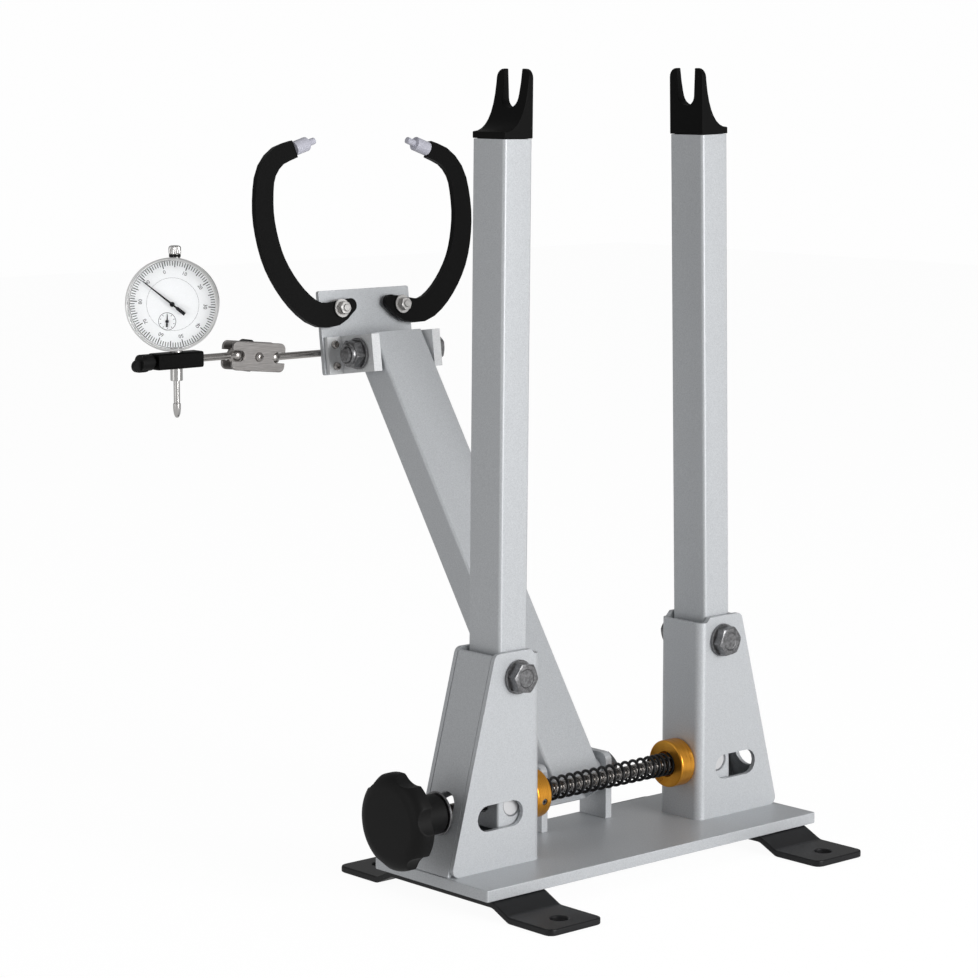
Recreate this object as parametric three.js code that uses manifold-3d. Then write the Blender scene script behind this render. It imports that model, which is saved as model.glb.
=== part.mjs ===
// Bicycle wheel truing stand: two posts that a screw opens and closes together, and a rear arm that
// carries two rim calipers and a dial indicator.
// Lengths are in millimetres. X runs along the base plate, Y to the back and Z up. The pieces are drawn
// about the centre of the base plate's underside. The whole is then moved so that the origin is on the
// bench, under the middle of its overall size.
import * as THREE from 'three';
import { mergeVertices } from 'three/addons/utils/BufferGeometryUtils.js';
import Module from 'manifold-3d';

const wasm = await Module();
wasm.setup();

// Clearances: gap between neighbouring pieces, and how far a cutting shape runs past what it cuts.
const gap = 0.3;
const overrun = 5;

// Base plate and the two foot strips under it.
const base_margin = 0.9;
const base_depth = 103.6;
const base_thick = 7.3;
const base_corner = 1.2;
const foot_width = 43;
const foot_place = { left: 116.7, right: 112.4 };
const foot_setforward = 4.3;
const foot_thick = 4.2;
const foot_drop = 6.6;
const foot_bend_start = 46.2;
const foot_bend_end = 60.3;
const foot_bend_radius = 7;
const foot_reach = 97.3;
const foot_corner = 5;
const foot_hole = 11;
const foot_hole_place = 81.5;

// Bent sheet brackets and the plates that close their sloped side. Heights are above the base plate.
const sheet = 3;
const bracket_inner = 68.8;
const bracket_depth = 36.7;
const bracket_bend = 5.5;
const bracket_height = 131.5;
const bracket_web_drop = 3.2;
const bracket_low_reach = 141.6;
const bracket_top_reach = 106.1;
const bracket_corner = 4.5;
const closing_drop = 1.5;
const window_near = 91.7;
const window_margin = 12.4;
const window_height = 32.3;
const window_width = 16;
const closing_slot_length = 24;
const closing_slot_width = 16;

// Posts, the caps that hold the wheel's axle, and the bolts that they turn on. The two posts stand at
// slightly different leans, as the play of the screw between its collars allows.
const pivot_place = 88.2;
const pivot_height = 115.9;
const post_lean = { left: THREE.MathUtils.degToRad(0.7), right: THREE.MathUtils.degToRad(1.2) };
const post_width = 22.7;
const post_depth = 28.6;
const post_wall = 2;
const post_corner = 2;
const post_rise = 321.3;
const post_tail = 14;
const cap_height = 41;
const cap_base = 4;
const cap_top = 3.5;
const cap_waist = 2;
const cap_corner = 5.5;
const cap_plug = 12;
const axle_slot_width = 15.5;
const axle_slot_root = 13;
const axle_slot_depth = 23.1;
const axle_slot_round_share = 0.95;

// M10 bolts and nuts with their washers.
const bolt = { thread: 10, flats: 17, head: 6.4, nut: 8, washer: 21, washer_thick: 2 };
const bolt_spare = 3;

// Screw that spreads the posts: barrel nuts, collars, spring and star knob.
const rod_height = 36.3;
const rod_diameter = 8;
const rod_right = 106;
const rod_play = 0.6;
const barrel_diameter = 14;
const barrel_length = 27.2;
const rod_slot_play = 1.4;
const collar_diameter = 30.5;
const collar_width = 12;
const collar_chamfer = 1;
const spring_seat_diameter = 15.8;
const spring_seat_depth = 4.5;
const spring_diameter = 15;
const spring_wire = 2;
const spring_open_turns = 14;
const spring_close_turns = 4;
const spring_close_pitch = 4.2;
const knob_diameter = 60;
const knob_play = 6.2;
const knob_hub_length = 19;
const knob_width = 18.5;
const knob_rim = 12;
const knob_face_diameter = 48;
const knob_hub_diameter = 24.6;
const knob_hub_chamfer = 1;
const knob_lobes = 6;
const knob_phase_share = 0.37;
const scallop_radius = 17.5;
const scallop_depth = 3.4;
const knob_washer_diameter = 27;
const knob_washer_thick = 1.6;
const knob_wall = 10;

// Rear lugs, arm and its cross bushes.
const arm_offset = 3.5;
const arm_width = 42;
const arm_thick = 23.6;
const arm_wall = 2;
const arm_corner = 2;
const arm_length = 309.8;
const arm_tail = 15;
const arm_head = 9;
const arm_lean = THREE.MathUtils.degToRad(32.95);
const arm_pin_place = 38;
const arm_pin_height = 30.7;
const bush_wall = 3;
const lug_inner = 25.4;
const lug_thick = 5.1;
const lug_front = 26.2;
const lug_back = 50.7;
const lug_height = 43;
const lug_corner = 5;

// Head: plate, its two angle lugs, their screws, and the foot of the indicator's rod.
const head_tilt = THREE.MathUtils.degToRad(7);
const head_bolt_setback = 21.2;
const head_width = 78;
const head_low = 12.65;
const head_high = 43.35;
const head_thick = 3;
const angle_inner = 22.9;
const angle_leg = 6.7;
const angle_height = 24.8;
const angle_reach = 36;
const angle_flange = 11.3;
const angle_flange_thick = 3;
const small_screw_head = 5.5;
const small_screw_height = 2.2;
const small_screw_thread = 3;
const small_screw_spacing = 14.4;
const small_screw_inset = 5.6;
const small_screw_spare = 1.5;
const rod_block_place = 24;
const rod_block_width = 11;
const rod_block_depth = 9;
const rod_block_height = 20;

// Rim calipers: a flat bowed arm with a stepped plastic tip, on a small bolt.
const caliper_thick = 4;
const caliper_spacer = 3;
const caliper_place = 26.3;
const caliper_rise = 30.95;
const caliper_width = 16.4;
const caliper_tail_width = 9.6;
const caliper_tip_width = 11.8;
const caliper_widening_share = 0.07;
const caliper_rest_turn = THREE.MathUtils.degToRad(2.2);
const caliper_thread = 5;
const caliper_washer = 12.5;
const caliper_washer_thick = 1.2;
const caliper_nut_flats = 8;
const caliper_nut = 4;
const caliper_path = [
  [-8.7, 1.8],
  [0, -2],
  [9, -4.3],
  [20.5, -3.4],
  [36, 7.4],
  [52, 29.8],
  [58.9, 55.5],
  [58.9, 73.2],
  [55.5, 89],
  [46.3, 99.6],
  [31.6, 105.2],
];
const tip_aim_share = 0.97;
const tip_body_diameter = 9.6;
const tip_body_length = 11.5;
const tip_pin_diameter = 4.6;
const tip_pin_length = 7;
const tip_shank_diameter = 2.4;
const tip_shank_length = 9;

// Swivel between the two rods: two stamped plates, balls, screw and thumb nut.
const small_rod_diameter = 4.7;
const head_rod_behind = 3.6;
const head_rod_rise = 2.3;
const head_ball_place = 77.2;
const ball_spacing = 30.6;
const swivel_length = 43;
const swivel_height = 19;
const swivel_corner = 4;
const swivel_plate = 1.8;
const swivel_spread = 9;
const swivel_rest_turn = THREE.MathUtils.degToRad(6);
const ball_hole_diameter = 7;
const swivel_screw_thread = 4.4;
const swivel_screw_head = 8.5;
const swivel_screw_height = 3;
const thumb_nut_diameter = 22;
const thumb_nut_width = 9;
const thumb_nut_lobes = 5;

// Dial indicator and the block that clamps its stem.
const stem_place = -154.2;
const clamp_length = 35.3;
const clamp_depth = 12;
const clamp_height = 10.4;
const clamp_corner = 1.5;
const dial_rod_inset = 6;
const clamp_screw_thread = 4;
const clamp_screw_reach = 7;
const clamp_neck_diameter = 7;
const clamp_neck = 2.2;
const clamp_knob_diameter = 10.6;
const clamp_knob_width = 9;
const wing_length = 10;
const wing_thick = 3.6;
const wing_width = 8;
const dial_rise = 36.7;
const dial_turn = THREE.MathUtils.degToRad(-46);
const case_diameter = 55;
const case_half_depth = 9;
const stem_diameter = 8;
const stem_bottom = 13.2;
const plunger_diameter = 4.1;
const plunger_bottom = 27.9;
const plunger_top = 52;
const tip_diameter = 5;
const tip_straight = 3.6;
const tip_round = 5.6;
const tip_steps = 4;
const bezel_diameter = 59.3;
const bezel_depth = 8;
const bezel_straight = 5;
const bezel_inner = 57;
const bezel_lip = 55;
const bezel_lip_thick = 1.2;
const bezel_front = 57.5;
const crystal_thick = 1.5;
const face_thick = 0.8;
const hand_thick = 0.5;
const hand_width = 2.2;
const hand_hub = 4;
const hand_spindle = 1.4;
const hand_spindle_depth = 4;
const main_hand_reach = 24.3;
const main_hand_tail = 10.6;
const main_hand_lift = 2.8;
const main_hand_angle = THREE.MathUtils.degToRad(142.5);
const small_dial_side = -3.7;
const small_dial_drop = 11;
const small_hand_reach = 4.5;
const small_hand_tail = 1.8;
const small_hand_lift = 1.5;
const small_hand_angle = THREE.MathUtils.degToRad(90);
const dial_cap_diameter = 8;
const dial_cap_height = 9.6;
const dial_cap_neck = 1.2;

const deck = base_thick;
const pi = Math.PI;

// Finishes.
const silver_paint = { color: 0xb9bcc0, roughness: 0.45, metalness: 0.35 };
const black_paint = { color: 0x17181a, roughness: 0.55, metalness: 0.1 };
const black_plastic = { color: 0x1b1c1e, roughness: 0.6, metalness: 0 };
const zinc = { color: 0x8f9296, roughness: 0.35, metalness: 0.9 };
const bright_steel = { color: 0xc4c6c8, roughness: 0.25, metalness: 0.95 };
const gold_anodised = { color: 0xc98a26, roughness: 0.3, metalness: 0.8 };
const black_spring = { color: 0x101011, roughness: 0.35, metalness: 0.5 };
const white_plastic = { color: 0xe9e9ee, roughness: 0.4, metalness: 0 };
const clear_plastic = { color: 0xf2f6f8, roughness: 0.05, metalness: 0, transparent: true, opacity: 0.25 };

// A closed geometry as a solid that can be cut and joined, its faces turned outward.
function solid(geometry) {
  const bare = geometry.index ? geometry.toNonIndexed() : geometry.clone();
  bare.deleteAttribute('normal');
  bare.deleteAttribute('uv');
  const merged = mergeVertices(bare);
  const places = merged.attributes.position;
  const corner = [0, 1, 2].map(() => new THREE.Vector3());
  const kept = [];
  let volume = 0;
  for (let i = 0; i < merged.index.count; i += 3) {
    const face = [0, 1, 2].map((k) => merged.index.getX(i + k));
    if (new Set(face).size === 3) {
      kept.push(face);
      face.forEach((index, k) => corner[k].fromBufferAttribute(places, index));
      volume += corner[0].dot(corner[1].cross(corner[2]));
    }
  }
  const faces = volume > 0 ? kept : kept.map(([a, b, c]) => [a, c, b]);
  return new wasm.Manifold(new wasm.Mesh({
    numProp: 3,
    vertProperties: new Float32Array(places.array),
    triVerts: new Uint32Array(faces.flat()),
  }));
}

// Adds a solid to a group as one named mesh. A mirrored piece is the same one seen across X.
function add(group, name, shape, finish, mirrored = false) {
  const { vertProperties, triVerts } = shape.getMesh();
  const geometry = new THREE.BufferGeometry();
  geometry.setAttribute('position', new THREE.BufferAttribute(new Float32Array(vertProperties), 3));
  geometry.setIndex(new THREE.BufferAttribute(new Uint32Array(triVerts), 1));
  if (mirrored) {
    geometry.scale(-1, 1, 1);
    geometry.index.array.reverse();
  }
  geometry.computeVertexNormals();
  const mesh = new THREE.Mesh(geometry, new THREE.MeshStandardMaterial(finish));
  mesh.name = name;
  group.add(mesh);
}

// Outline through corners [x, y, radius], each rounded by its own radius where it has one.
function outline(corners, steps = 4) {
  const points = [];
  corners.forEach(([x, y, radius = 0], i) => {
    const here = new THREE.Vector2(x, y);
    if (radius === 0) {
      points.push(here);
      return;
    }
    const before = new THREE.Vector2(...corners.at(i - 1)).sub(here).normalize();
    const after = new THREE.Vector2(...corners[(i + 1) % corners.length]).sub(here).normalize();
    const half = Math.acos(before.dot(after)) / 2;
    const reach = radius / Math.tan(half);
    const centre = before.clone().add(after).normalize().multiplyScalar(radius / Math.sin(half)).add(here);
    const start = before.multiplyScalar(reach).add(here).sub(centre);
    const end = after.multiplyScalar(reach).add(here).sub(centre);
    const sweep = Math.atan2(start.cross(end), start.dot(end));
    for (let k = 0; k <= steps; k += 1) {
      points.push(start.clone().rotateAround(new THREE.Vector2(), (sweep * k) / steps).add(centre));
    }
  });
  return points;
}

function rectangle(left, right, low, high, radius = 0) {
  return outline([[left, low, radius], [right, low, radius], [right, high, radius], [left, high, radius]], 3);
}

function circle(x, y, diameter, sides = 24) {
  const points = [];
  for (let k = 0; k < sides; k += 1) {
    const angle = (2 * pi * (k + 1 / 2)) / sides;
    points.push(new THREE.Vector2(Math.cos(angle), Math.sin(angle)).multiplyScalar(diameter / 2));
  }
  return points.map((point) => point.add(new THREE.Vector2(x, y)));
}

function hexagon(x, y, flats) {
  return circle(x, y, (2 * flats) / Math.sqrt(3), 6);
}

// Slot with round ends about the centres [x, y] of its two ends.
function slot([ax, ay], [bx, by], width, steps = 8) {
  const lean = Math.atan2(by - ay, bx - ax);
  const points = [];
  for (const [x, y, turn] of [[bx, by, -pi / 2], [ax, ay, pi / 2]]) {
    for (let k = 0; k <= steps; k += 1) {
      const angle = lean + turn + (pi * k) / steps;
      points.push(new THREE.Vector2(x + (Math.cos(angle) * width) / 2, y + (Math.sin(angle) * width) / 2));
    }
  }
  return points;
}

// Turns a shape drawn along Z so that it runs along another axis. Outlines are read as (y, z) along
// X, as (x, z) along Y and as (x, y) along Z.
function along(geometry, axis) {
  const [x, y, z] = [[1, 0, 0], [0, 1, 0], [0, 0, 1]].map((unit) => new THREE.Vector3(...unit));
  const frames = { x: [y, z, x], y: [x, z, y], z: [x, y, z] };
  return geometry.applyMatrix4(new THREE.Matrix4().makeBasis(...frames[axis]));
}

// Straight bar of one outline between two places along an axis.
function prism(axis, points, from, to) {
  const depth = Math.abs(to - from);
  const geometry = new THREE.ExtrudeGeometry(new THREE.Shape(points), { depth, bevelEnabled: false });
  geometry.translate(0, 0, Math.min(from, to));
  return solid(along(geometry, axis));
}

// Turned piece about an axis through [u, v], from a closed profile of [radius, place] corners.
function turned(axis, [u, v], profile, sides = 24) {
  const points = profile.map(([radius, place]) => new THREE.Vector2(radius, place));
  if (profile[0][0] > 0) {
    points.push(points[0].clone());
  }
  const geometry = new THREE.LatheGeometry(points, sides);
  geometry.rotateX(pi / 2);
  geometry.translate(u, v, 0);
  return solid(along(geometry, axis));
}

// Hex bolt whose washer seats at a place on an axis and whose shank runs on to its end.
function hexBolt(axis, [u, v], seat, end) {
  const way = Math.sign(end - seat);
  const head = seat - way * bolt.washer_thick;
  return prism(axis, circle(u, v, bolt.thread), head, end)
    .add(prism(axis, circle(u, v, bolt.washer), seat, head))
    .add(prism(axis, hexagon(u, v, bolt.flats), head, head - way * bolt.head));
}

// Nut on its washer, seated at a place on an axis, with the bore that clears the bolt's thread.
function hexNut(axis, [u, v], seat, way) {
  const top = seat + way * bolt.washer_thick;
  const end = top + way * bolt.nut;
  return prism(axis, circle(u, v, bolt.washer), seat, top)
    .add(prism(axis, hexagon(u, v, bolt.flats), top, end))
    .subtract(prism(axis, circle(u, v, bolt.thread + 2 * gap), seat - way * overrun, end + way * overrun));
}

// How far a bolt's end stands past the washer and nut that are seated at a place.
function boltEnd(seat, way) {
  return seat + way * (bolt.washer_thick + bolt.nut + bolt_spare);
}

const stand_group = new THREE.Group();
const sides = [['left', true], ['right', false]];

// Base plate, as long as the brackets' feet reach.
function basePlate() {
  const half = bracket_low_reach + base_margin;
  return prism('z', rectangle(-half, half, -base_depth / 2, base_depth / 2, base_corner), 0, base_thick);
}

// Foot strip: flat under the base plate, stepped down to a pad with a bolt hole at each end.
function footStrip(side) {
  const line = [
    [-foot_reach, -foot_drop], [-foot_bend_end, -foot_drop, foot_bend_radius],
    [-foot_bend_start, 0, foot_bend_radius], [foot_bend_start, 0, foot_bend_radius],
    [foot_bend_end, -foot_drop, foot_bend_radius], [foot_reach, -foot_drop],
  ].map(([y, z, radius]) => [y - foot_setforward, z, radius]);
  const under = line.map(([y, z, radius]) => [y, z - foot_thick, radius]).reverse();
  const near = foot_place[side] - foot_width / 2;
  const far = foot_place[side] + foot_width / 2;
  const front = -foot_reach - foot_setforward;
  const back = foot_reach - foot_setforward;
  const low = -foot_drop - foot_thick - overrun;
  let strip = prism('x', outline([...line, ...under], 3), near - overrun, far + overrun)
    .intersect(prism('z', rectangle(near, far, front, back, foot_corner), low, overrun));
  for (const way of [-1, 1]) {
    const hole = circle(foot_place[side], way * foot_hole_place - foot_setforward, foot_hole);
    strip = strip.subtract(prism('z', hole, low, overrun));
  }
  return strip;
}

// Place of the brackets' sloped outer edge at a height above the base plate.
function slopeAt(height) {
  return bracket_low_reach - ((bracket_low_reach - bracket_top_reach) * height) / bracket_height;
}

// Bracket: a sheet channel whose flanges taper upward, with a window in each flange.
function bracket() {
  const half = bracket_depth / 2;
  const top = deck + bracket_height;
  const web_top = top - bracket_web_drop;
  const bend_far = bracket_inner + bracket_bend;
  const channel = outline([
    [bracket_low_reach + overrun, -half], [bracket_inner, -half, bracket_bend],
    [bracket_inner, half, bracket_bend], [bracket_low_reach + overrun, half],
    [bracket_low_reach + overrun, half - sheet],
    [bracket_inner + sheet, half - sheet, bracket_bend - sheet],
    [bracket_inner + sheet, sheet - half, bracket_bend - sheet],
    [bracket_low_reach + overrun, sheet - half],
  ]);
  const side = outline([
    [bracket_inner - overrun, deck], [bracket_low_reach, deck, bracket_corner],
    [bracket_top_reach, top, bracket_corner], [bend_far + bracket_web_drop, top],
    [bend_far, web_top], [bracket_inner - overrun, web_top],
  ]);
  const window_place = deck + window_height;
  const window_far = slopeAt(window_height) - window_margin - window_width / 2;
  const window = slot([window_near, window_place], [window_far, window_place], window_width);
  const pivot = circle(pivot_place, deck + pivot_height, bolt.thread + 2 * gap);
  const rod_hole = circle(0, deck + rod_height, rod_diameter + 2 * rod_play);
  return prism('z', channel, deck - overrun, top + overrun)
    .intersect(prism('y', side, -half - overrun, half + overrun))
    .subtract(prism('y', window, -half - overrun, half + overrun))
    .subtract(prism('y', pivot, -half - overrun, half + overrun))
    .subtract(prism('x', rod_hole, bracket_inner - overrun, bracket_inner + sheet + overrun));
}

// Closing plate between the flanges, its outer face level with their sloped edges.
function closingPlate() {
  const top = bracket_height - closing_drop;
  const across = Math.hypot(bracket_height, bracket_low_reach - bracket_top_reach) / bracket_height;
  const thick = sheet * across;
  const plate = outline([
    [slopeAt(0) - thick, deck], [slopeAt(0), deck],
    [slopeAt(top), deck + top], [slopeAt(top) - thick, deck + top],
  ]);
  const half = bracket_depth / 2 - sheet - gap;
  const middle = deck + rod_height;
  const reach = (closing_slot_length - closing_slot_width) / 2;
  const opening = slot([0, middle - reach], [0, middle + reach], closing_slot_width);
  return prism('y', plate, -half, half)
    .subtract(prism('x', opening, slopeAt(top) - overrun, slopeAt(0) + overrun));
}

// Distance from a post's pivot down to its barrel nut, along the post.
function nutDrop(side) {
  return (pivot_height - rod_height) / Math.cos(post_lean[side]);
}

// Post: a rectangular tube with bores for the pivot bolt and the barrel nut, and holes for the rod.
function post(side) {
  const [x, y] = [post_width / 2, post_depth / 2];
  const nut = -nutDrop(side);
  const low = nut - post_tail;
  const inner_corner = Math.max(post_corner - post_wall, 0);
  const inside = rectangle(post_wall - x, x - post_wall, post_wall - y, y - post_wall, inner_corner);
  return prism('z', rectangle(-x, x, -y, y, post_corner), low, post_rise)
    .subtract(prism('z', inside, low - overrun, post_rise + overrun))
    .subtract(prism('y', circle(0, 0, bolt.thread + 2 * gap), -y - overrun, y + overrun))
    .subtract(prism('y', circle(0, nut, barrel_diameter + 2 * gap), -y - overrun, y + overrun))
    .subtract(prism('x', circle(0, nut, rod_diameter + 2 * rod_slot_play), -x - overrun, x + overrun));
}

// Cap on the post: a fork for the axle, thin at the top, flaring outward to the post's full width,
// with a plug that goes down into the tube.
function dropoutCap() {
  const [x, y] = [post_width / 2, post_depth / 2];
  const seat = post_rise + gap;
  const base = seat + cap_base;
  const top = seat + cap_height;
  const flare = new THREE.QuadraticBezierCurve(
    new THREE.Vector2(cap_top - x, top),
    new THREE.Vector2(cap_top + cap_waist - x, base),
    new THREE.Vector2(x, base),
  ).getPoints(9);
  const foot = [new THREE.Vector2(-x, seat), new THREE.Vector2(x, seat)];
  const side = [...foot, ...flare.reverse(), new THREE.Vector2(-x, top)];
  const [mouth, root] = [axle_slot_width / 2, axle_slot_root / 2];
  const slot_floor = top - axle_slot_depth;
  const floor_round = root * axle_slot_round_share;
  const fork = outline([
    [-y, seat], [y, seat], [y, top, cap_corner], [mouth, top], [root, slot_floor, floor_round],
    [-root, slot_floor, floor_round], [-mouth, top], [-y, top, cap_corner],
  ], 5);
  const [plug_x, plug_y] = [x - post_wall - gap, y - post_wall - gap];
  return prism('y', side, -y, y)
    .intersect(prism('x', fork, -x - overrun, x + overrun))
    .add(prism('z', rectangle(-plug_x, plug_x, -plug_y, plug_y), seat - cap_plug, base));
}

// Barrel nut across the post, drilled for the rod.
function barrelNut(place) {
  const half = barrel_length / 2;
  const bore = circle(0, deck + rod_height, rod_diameter + 2 * gap);
  return prism('y', circle(place, deck + rod_height, barrel_diameter), -half, half)
    .subtract(prism('x', bore, place - barrel_diameter, place + barrel_diameter));
}

// Collar on the rod, chamfered, with a seat for the spring's end where it has one.
function collar(seat_depth) {
  const outer = collar_diameter / 2;
  const bore = rod_diameter / 2 + gap;
  const seat = spring_seat_diameter / 2;
  const web = bracket_inner - gap;
  const face = web - collar_width;
  const seated = [[bore, face + seat_depth], [seat, face + seat_depth], [seat, face]];
  return turned('x', [0, deck + rod_height], [
    ...(seat_depth > 0 ? seated : [[bore, face]]),
    [outer - collar_chamfer, face], [outer, face + collar_chamfer],
    [outer, web - collar_chamfer], [outer - collar_chamfer, web], [bore, web],
  ], 32);
}

// Spring round the rod: one unbroken helix tube with straight ends, open turns and then close ones.
function spring() {
  const radius = (spring_diameter - spring_wire) / 2;
  const start = collar_width + gap - bracket_inner + gap;
  const end = bracket_inner - gap - collar_width + spring_seat_depth - gap;
  const close_length = spring_close_turns * spring_close_pitch;
  const open_length = end - start - close_length - 2 * spring_wire;
  const turns = spring_open_turns + spring_close_turns;
  const steps = turns * 8;
  const centreAt = (turn) => {
    const open = Math.min(turn, spring_open_turns);
    const travel = (open_length * open) / spring_open_turns + (turn - open) * spring_close_pitch;
    const angle = 2 * pi * turn;
    const x = start + spring_wire + travel;
    return new THREE.Vector3(x, Math.sin(angle) * radius, deck + rod_height + Math.cos(angle) * radius);
  };
  const line = [new THREE.Vector3(start, 0, deck + rod_height + radius)];
  for (let k = 0; k <= steps; k += 1) {
    line.push(centreAt((turns * k) / steps));
  }
  line.push(new THREE.Vector3(end, 0, deck + rod_height + radius));
  const positions = [];
  line.forEach((centre, k) => {
    const ahead = line[Math.min(k + 1, line.length - 1)];
    const behind = line[Math.max(k - 1, 0)];
    const tangent = ahead.clone().sub(behind).normalize();
    const outward = new THREE.Vector3(0, centre.y, centre.z - deck - rod_height).normalize();
    const across = new THREE.Vector3().crossVectors(tangent, outward).normalize();
    outward.crossVectors(across, tangent);
    for (let side = 0; side < 5; side += 1) {
      const angle = (2 * pi * side) / 5;
      const point = centre.clone().addScaledVector(outward, (Math.cos(angle) * spring_wire) / 2);
      point.addScaledVector(across, (Math.sin(angle) * spring_wire) / 2);
      positions.push(...point);
    }
  });
  const index = [];
  const last = (line.length - 1) * 5;
  for (let ring = 0; ring < line.length - 1; ring += 1) {
    for (let side = 0; side < 5; side += 1) {
      const [a, b] = [ring * 5 + side, ring * 5 + ((side + 1) % 5)];
      index.push(a, b, b + 5, a, b + 5, a + 5);
    }
  }
  for (let side = 1; side < 4; side += 1) {
    index.push(0, side + 1, side, last, last + side, last + side + 1);
  }
  const geometry = new THREE.BufferGeometry();
  geometry.setAttribute('position', new THREE.Float32BufferAttribute(positions, 3));
  geometry.setIndex(index);
  const centres = line.slice(1, -1);
  let least = Infinity;
  centres.forEach((centre, i) => {
    for (const other of centres.slice(i + 5)) {
      least = Math.min(least, centre.distanceTo(other) - spring_wire);
    }
  });
  console.log(`spring: least gap to itself ${least.toFixed(2)} mm`);
  return solid(geometry);
}

// Places of the knob's hub, back and front along the rod, counted from the left closing plate.
const knob_hub_end = slopeAt(rod_height) + knob_play;
const knob_back = knob_hub_end + knob_hub_length;
const knob_front = -knob_back - knob_width;

// Star knob: a domed disc with scallops round its rim, a hub, and a blind bore for the rod.
function starKnob() {
  const axis = [0, deck + rod_height];
  const rim = knob_diameter / 2;
  const dome = new THREE.QuadraticBezierCurve(
    new THREE.Vector2(rim, -knob_back - knob_rim),
    new THREE.Vector2(rim, knob_front),
    new THREE.Vector2(knob_face_diameter / 2, knob_front),
  ).getPoints(4).map((point) => [point.x, point.y]);
  const hub = knob_hub_diameter / 2;
  let knob = turned('x', axis, [
    [0, -knob_hub_end], [hub - knob_hub_chamfer, -knob_hub_end], [hub, -knob_hub_end - knob_hub_chamfer],
    [hub, -knob_back], [rim - knob_hub_chamfer, -knob_back], [rim, -knob_back - knob_hub_chamfer],
    ...dome, [0, knob_front],
  ], 36);
  const centre_distance = rim - scallop_depth + scallop_radius;
  for (let k = 0; k < knob_lobes; k += 1) {
    const angle = (2 * pi * (k + knob_phase_share)) / knob_lobes;
    const scallop = circle(
      axis[0] + Math.sin(angle) * centre_distance,
      axis[1] + Math.cos(angle) * centre_distance,
      2 * scallop_radius,
      36,
    );
    knob = knob.subtract(prism('x', scallop, knob_front - overrun, overrun - knob_back));
  }
  const bore = circle(...axis, rod_diameter + 2 * gap);
  return knob.subtract(prism('x', bore, knob_front + knob_wall - gap, overrun - knob_hub_end));
}

function knobWasher() {
  const near = -knob_hub_end + gap;
  const bore = rod_diameter / 2 + gap;
  return turned('x', [0, deck + rod_height], [
    [bore, near], [knob_washer_diameter / 2, near], [knob_washer_diameter / 2, near + knob_washer_thick],
    [bore, near + knob_washer_thick],
  ]);
}

function rearLug() {
  const plate = outline([[lug_front, deck], [lug_back, deck], [lug_back, deck + lug_height, lug_corner],
    [lug_front, deck + lug_height, lug_corner]]);
  const bore = circle(arm_pin_place, deck + arm_pin_height, bolt.thread + 2 * gap);
  return prism('x', plate, lug_inner, lug_inner + lug_thick)
    .subtract(prism('x', bore, lug_inner - overrun, lug_inner + lug_thick + overrun));
}

// Arm: a rectangular tube with a bush welded across it at each end.
function rearArm() {
  const [x, y] = [arm_width / 2, arm_thick / 2];
  const [low, high] = [-arm_tail, arm_length + arm_head];
  const bore = bolt.thread + 2 * gap;
  const inside = rectangle(arm_wall - x, x - arm_wall, arm_wall - y, y - arm_wall);
  let arm = prism('z', rectangle(-x, x, -y, y, arm_corner), low, high)
    .subtract(prism('z', inside, low - overrun, high + overrun));
  for (const [place, reach] of [[0, lug_inner - gap], [arm_length, angle_inner - gap]]) {
    arm = arm.add(prism('x', circle(0, place, bore + 2 * bush_wall), -reach, reach));
    arm = arm.subtract(prism('x', circle(0, place, bore), -reach - overrun, reach + overrun));
  }
  return arm;
}

// Pieces on the head are drawn with Z at the head bolt's height and Y at the front of its plate.
const angle_half = angle_height / 2;

function headPlate() {
  const half = head_width / 2;
  let plate = prism('y', rectangle(-half, half, -head_low, head_high, head_thick / 2), 0, head_thick);
  for (const way of [-1, 1]) {
    const hole = circle(way * caliper_place, caliper_rise, caliper_thread + 2 * gap, 16);
    plate = plate.subtract(prism('y', hole, -overrun, head_thick + overrun));
    for (const height of [-small_screw_spacing / 2, small_screw_spacing / 2]) {
      const bore = circle(screwPlace(way), height, small_screw_thread + 2 * gap, 12);
      plate = plate.subtract(prism('y', bore, -overrun, head_thick + overrun));
    }
  }
  return plate;
}

function screwPlace(way) {
  return arm_offset + way * (angle_inner + angle_leg + small_screw_inset);
}

// Angle lug: a thick leg beside the arm and a thin flange against the head plate.
function angleLug() {
  const leg_outer = angle_inner + angle_leg;
  const section = outline([
    [angle_inner, -angle_reach], [leg_outer, -angle_reach], [leg_outer, -angle_flange_thick - gap],
    [leg_outer + angle_flange, -angle_flange_thick - gap],
    [leg_outer + angle_flange, -gap], [angle_inner, -gap],
  ]);
  const bore = circle(-head_bolt_setback, 0, bolt.thread + 2 * gap);
  let lug = prism('z', section, -angle_half, angle_half)
    .subtract(prism('x', bore, angle_inner - overrun, leg_outer + overrun));
  for (const height of [-small_screw_spacing / 2, small_screw_spacing / 2]) {
    const hole = circle(leg_outer + small_screw_inset, height, small_screw_thread + 2 * gap, 12);
    lug = lug.subtract(prism('y', hole, -angle_flange_thick - overrun, overrun));
  }
  return lug;
}

// Small screw through an angle lug's flange and the head plate.
function smallScrew(place, height) {
  const seat = -angle_flange_thick - 2 * gap;
  const shank_end = head_thick + small_screw_spare;
  return prism('y', circle(place, height, small_screw_head, 16), seat - small_screw_height, seat)
    .add(prism('y', circle(place, height, small_screw_thread, 12), seat, shank_end));
}

// Block behind the head plate that holds the indicator's rod.
const block_left = -rod_block_place - rod_block_width / 2;
const block_right = rod_block_width / 2 - rod_block_place;

function rodBlock() {
  const half = rod_block_height / 2;
  const front = head_thick + gap;
  const bore = circle(head_thick + head_rod_behind, head_rod_rise, small_rod_diameter + 2 * gap, 16);
  return prism('y', rectangle(block_left, block_right, -half, half), front, front + rod_block_depth)
    .subtract(prism('x', bore, block_left - overrun, block_right + overrun));
}

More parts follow.
